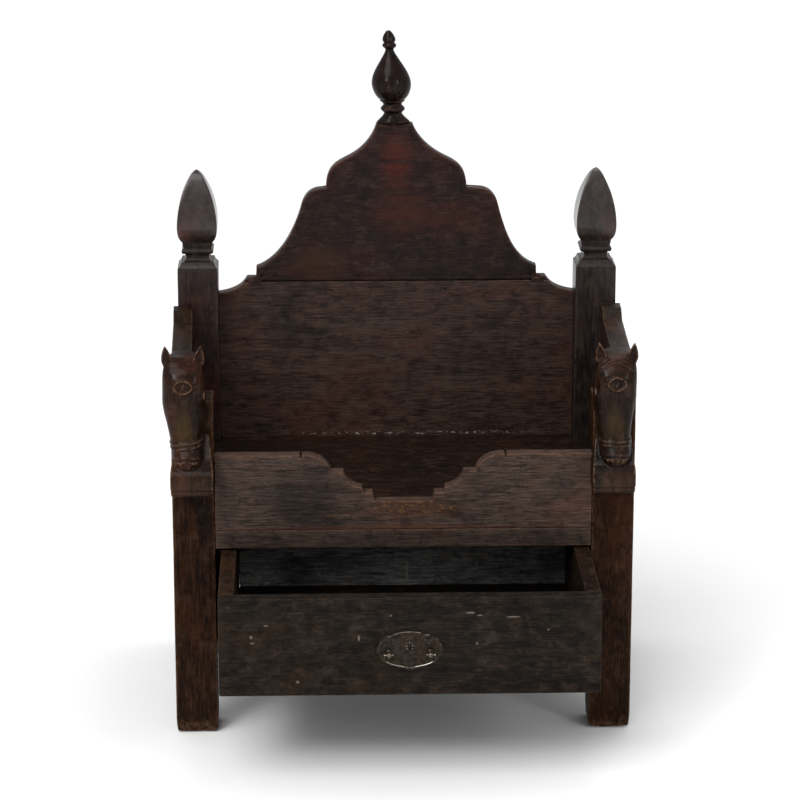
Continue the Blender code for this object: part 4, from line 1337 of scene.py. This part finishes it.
# The studs: turned posts with a flat collar on the plate and a ball that is bored for the bail. Their
# outer ends are rubbed bright.
stud_radius = 0.0045
bail_radius = 0.0016
bore_radius = bail_radius + 0.0005
bail_low, bail_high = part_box("handle_bail")
stud_low, stud_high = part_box("handle_stud_left")
pivot_y = stud_low.y + stud_radius
pivot_z = (stud_low.z + stud_high.z) / 2
stud_foot_levels = (
    (0.48, 0.44), (0.36, 0.46), (0.29, 0.60), (0.25, 0.72), (0.20, 0.62), (0.13, 0.90), (0.09, 1.12),
    (0.03, 1.15), (0.00, 1.15),
)
stud_brass = dark_brass("stud_brass", "#1f1612", "#3a2b23", "#8a7f70", 12.0, gloss=(0.20, 0.34))
for hand in ("left", "right"):
    node = "handle_stud_" + hand
    low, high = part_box(node)
    centre_x = (low.x + high.x) / 2
    length = high.y - low.y
    turns = [math.pi * step / 20 for step in range(17)]
    outline = [(stud_radius * math.sin(t), length - stud_radius * (1 - math.cos(t))) for t in turns]
    outline += [(stud_radius * 0.50, length - stud_radius * 2.05)]
    outline += [(stud_radius * width, length * height) for height, width in stud_foot_levels]
    bm = spin_up(outline + [(0.0, 0.0)], 40, merge=0.00001)
    bmesh.ops.rotate(bm, cent=(0, 0, 0), matrix=Matrix.Rotation(math.radians(90), 3, "X"), verts=bm.verts)
    bmesh.ops.translate(bm, vec=(centre_x, high.y, pivot_z), verts=bm.verts)
    face_outwards(bm)
    wear_and_highlight = bm.verts.layers.float.new("wear_and_highlight")
    for vert in bm.verts:
        vert[wear_and_highlight] = 0.30 if vert.co.y < pivot_y - 0.001 else 0.12
    stud = mesh_object("turned_stud_" + hand, bm, stud_brass, "drawer")
    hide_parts(node)
    drill = bmesh.new()
    bmesh.ops.create_cone(
        drill, cap_ends=True, segments=32, radius1=bore_radius, radius2=bore_radius, depth=0.02
    )
    bmesh.ops.rotate(
        drill, cent=(0, 0, 0), matrix=Matrix.Rotation(math.radians(90), 3, "Y"), verts=drill.verts
    )
    bmesh.ops.translate(drill, vec=(centre_x, pivot_y, pivot_z), verts=drill.verts)
    drill_object = put_in("drill " + hand, mesh_from("drill " + hand, drill))
    bore = stud.modifiers.new("eye", "BOOLEAN")
    bore.object = drill_object
    bored = shown_mesh(stud)
    stud.modifiers.remove(bore)
    stud.data = bored
    bpy.data.objects.remove(drill_object, do_unlink=True)

# The bail: a drawn rod bent to a flat bow, thickest in its arms, with a double bead in the middle and
# a knob beside each stud. Hands keep its brass paler than the plate's, and a painted highlight runs along
# the rod's upper front side, fainter in the middle.
bail_corner = 1.25 * bail_radius
bail_half = (bail_high.x - bail_low.x) / 2 - bail_radius
bail_drop = pivot_z - bail_low.z - 0.0029
handle_x = (bail_low.x + bail_high.x) / 2
stud_spacing = 0.065
bail_voxel = 0.00028
bow_swell = 0.22
pin_end = stud_spacing / 2 - stud_radius - bail_corner
quarter = [(-pin_end, 0.0), (-pin_end - 0.004, 0.0), (-bail_half + bail_corner * 1.6, 0.0)]
quarter += [(-bail_half + bail_corner * 0.5, -bail_corner * 0.18), (-bail_half, -bail_corner * 0.9)]
quarter += bend(
    (-bail_half, -bail_drop * 0.22), (-bail_half * 0.975, -bail_drop * 0.62),
    (-bail_half * 0.700, -bail_drop * 0.82), (0.0, -bail_drop), 26,
)
bow = quarter + [(0.0, -bail_drop)] + [(-across, up) for across, up in reversed(quarter)]
curve = bpy.data.curves.new("bow", "CURVE")
curve.dimensions = "3D"
curve.bevel_depth = bail_radius
curve.bevel_resolution = 6
curve.use_fill_caps = True
spline = curve.splines.new("POLY")
spline.points.add(len(bow) - 1)
for point, (across, up) in zip(spline.points, bow):
    point.co = (handle_x + across, pivot_y, pivot_z + up, 1.0)
    below = -up / bail_drop
    point.radius = 1.0 + bow_swell * math.sin(math.pi * min(1.0, max(0.0, (below - 0.3) / 0.7))) ** 0.8
bow_object = put_in("bow", curve)
bow_mesh = shown_mesh(bow_object)
bpy.data.objects.remove(bow_object, do_unlink=True)
bm = bmesh.new()
bm.from_mesh(bow_mesh)
bmesh.ops.remove_doubles(bm, verts=bm.verts, dist=0.00003)
for side in (-1, 1):
    for across, up, radius in ((0.0033, -bail_drop, 0.0028), (0.0078, -bail_drop * 0.995, 0.0021)):
        place = Matrix.Translation((handle_x + side * across, pivot_y, pivot_z + up))
        bmesh.ops.create_uvsphere(bm, u_segments=24, v_segments=16, radius=radius, matrix=place)
    knob = Matrix.Translation((handle_x + side * (bail_half - 0.0004), pivot_y, pivot_z - 0.0006))
    bmesh.ops.create_uvsphere(bm, u_segments=24, v_segments=16, radius=0.0023, matrix=knob)
bail_skin = carve("bail", bm, bail_voxel, 1)
bail_skin.normal_update()
bail_brass = dark_brass("bail_brass", "#241d18", "#463c34", "#9c948a", 19.0, gloss=(0.18, 0.32))
bail = mesh_object("bent_bail", bail_skin, bail_brass, "bail")
mark_cavities(bail.data, spread=3, strength=1.2)
layer = bail.data.attributes["wear_and_highlight"]
for vert in bail.data.vertices:
    # Painted highlight: the side of the rod that faces up and to the front, towards the key light, is marked
    # pale.
    facing = vert.normal.z * 0.62 - vert.normal.y * 0.78
    painted_highlight_side = min(1.0, max(0.0, (facing - 0.86) / 0.12))
    in_middle = abs(vert.co.x - handle_x) < 0.0085
    layer.data[vert.index].value = (0.25 if in_middle else 0.75) * painted_highlight_side
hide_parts("handle_bail")
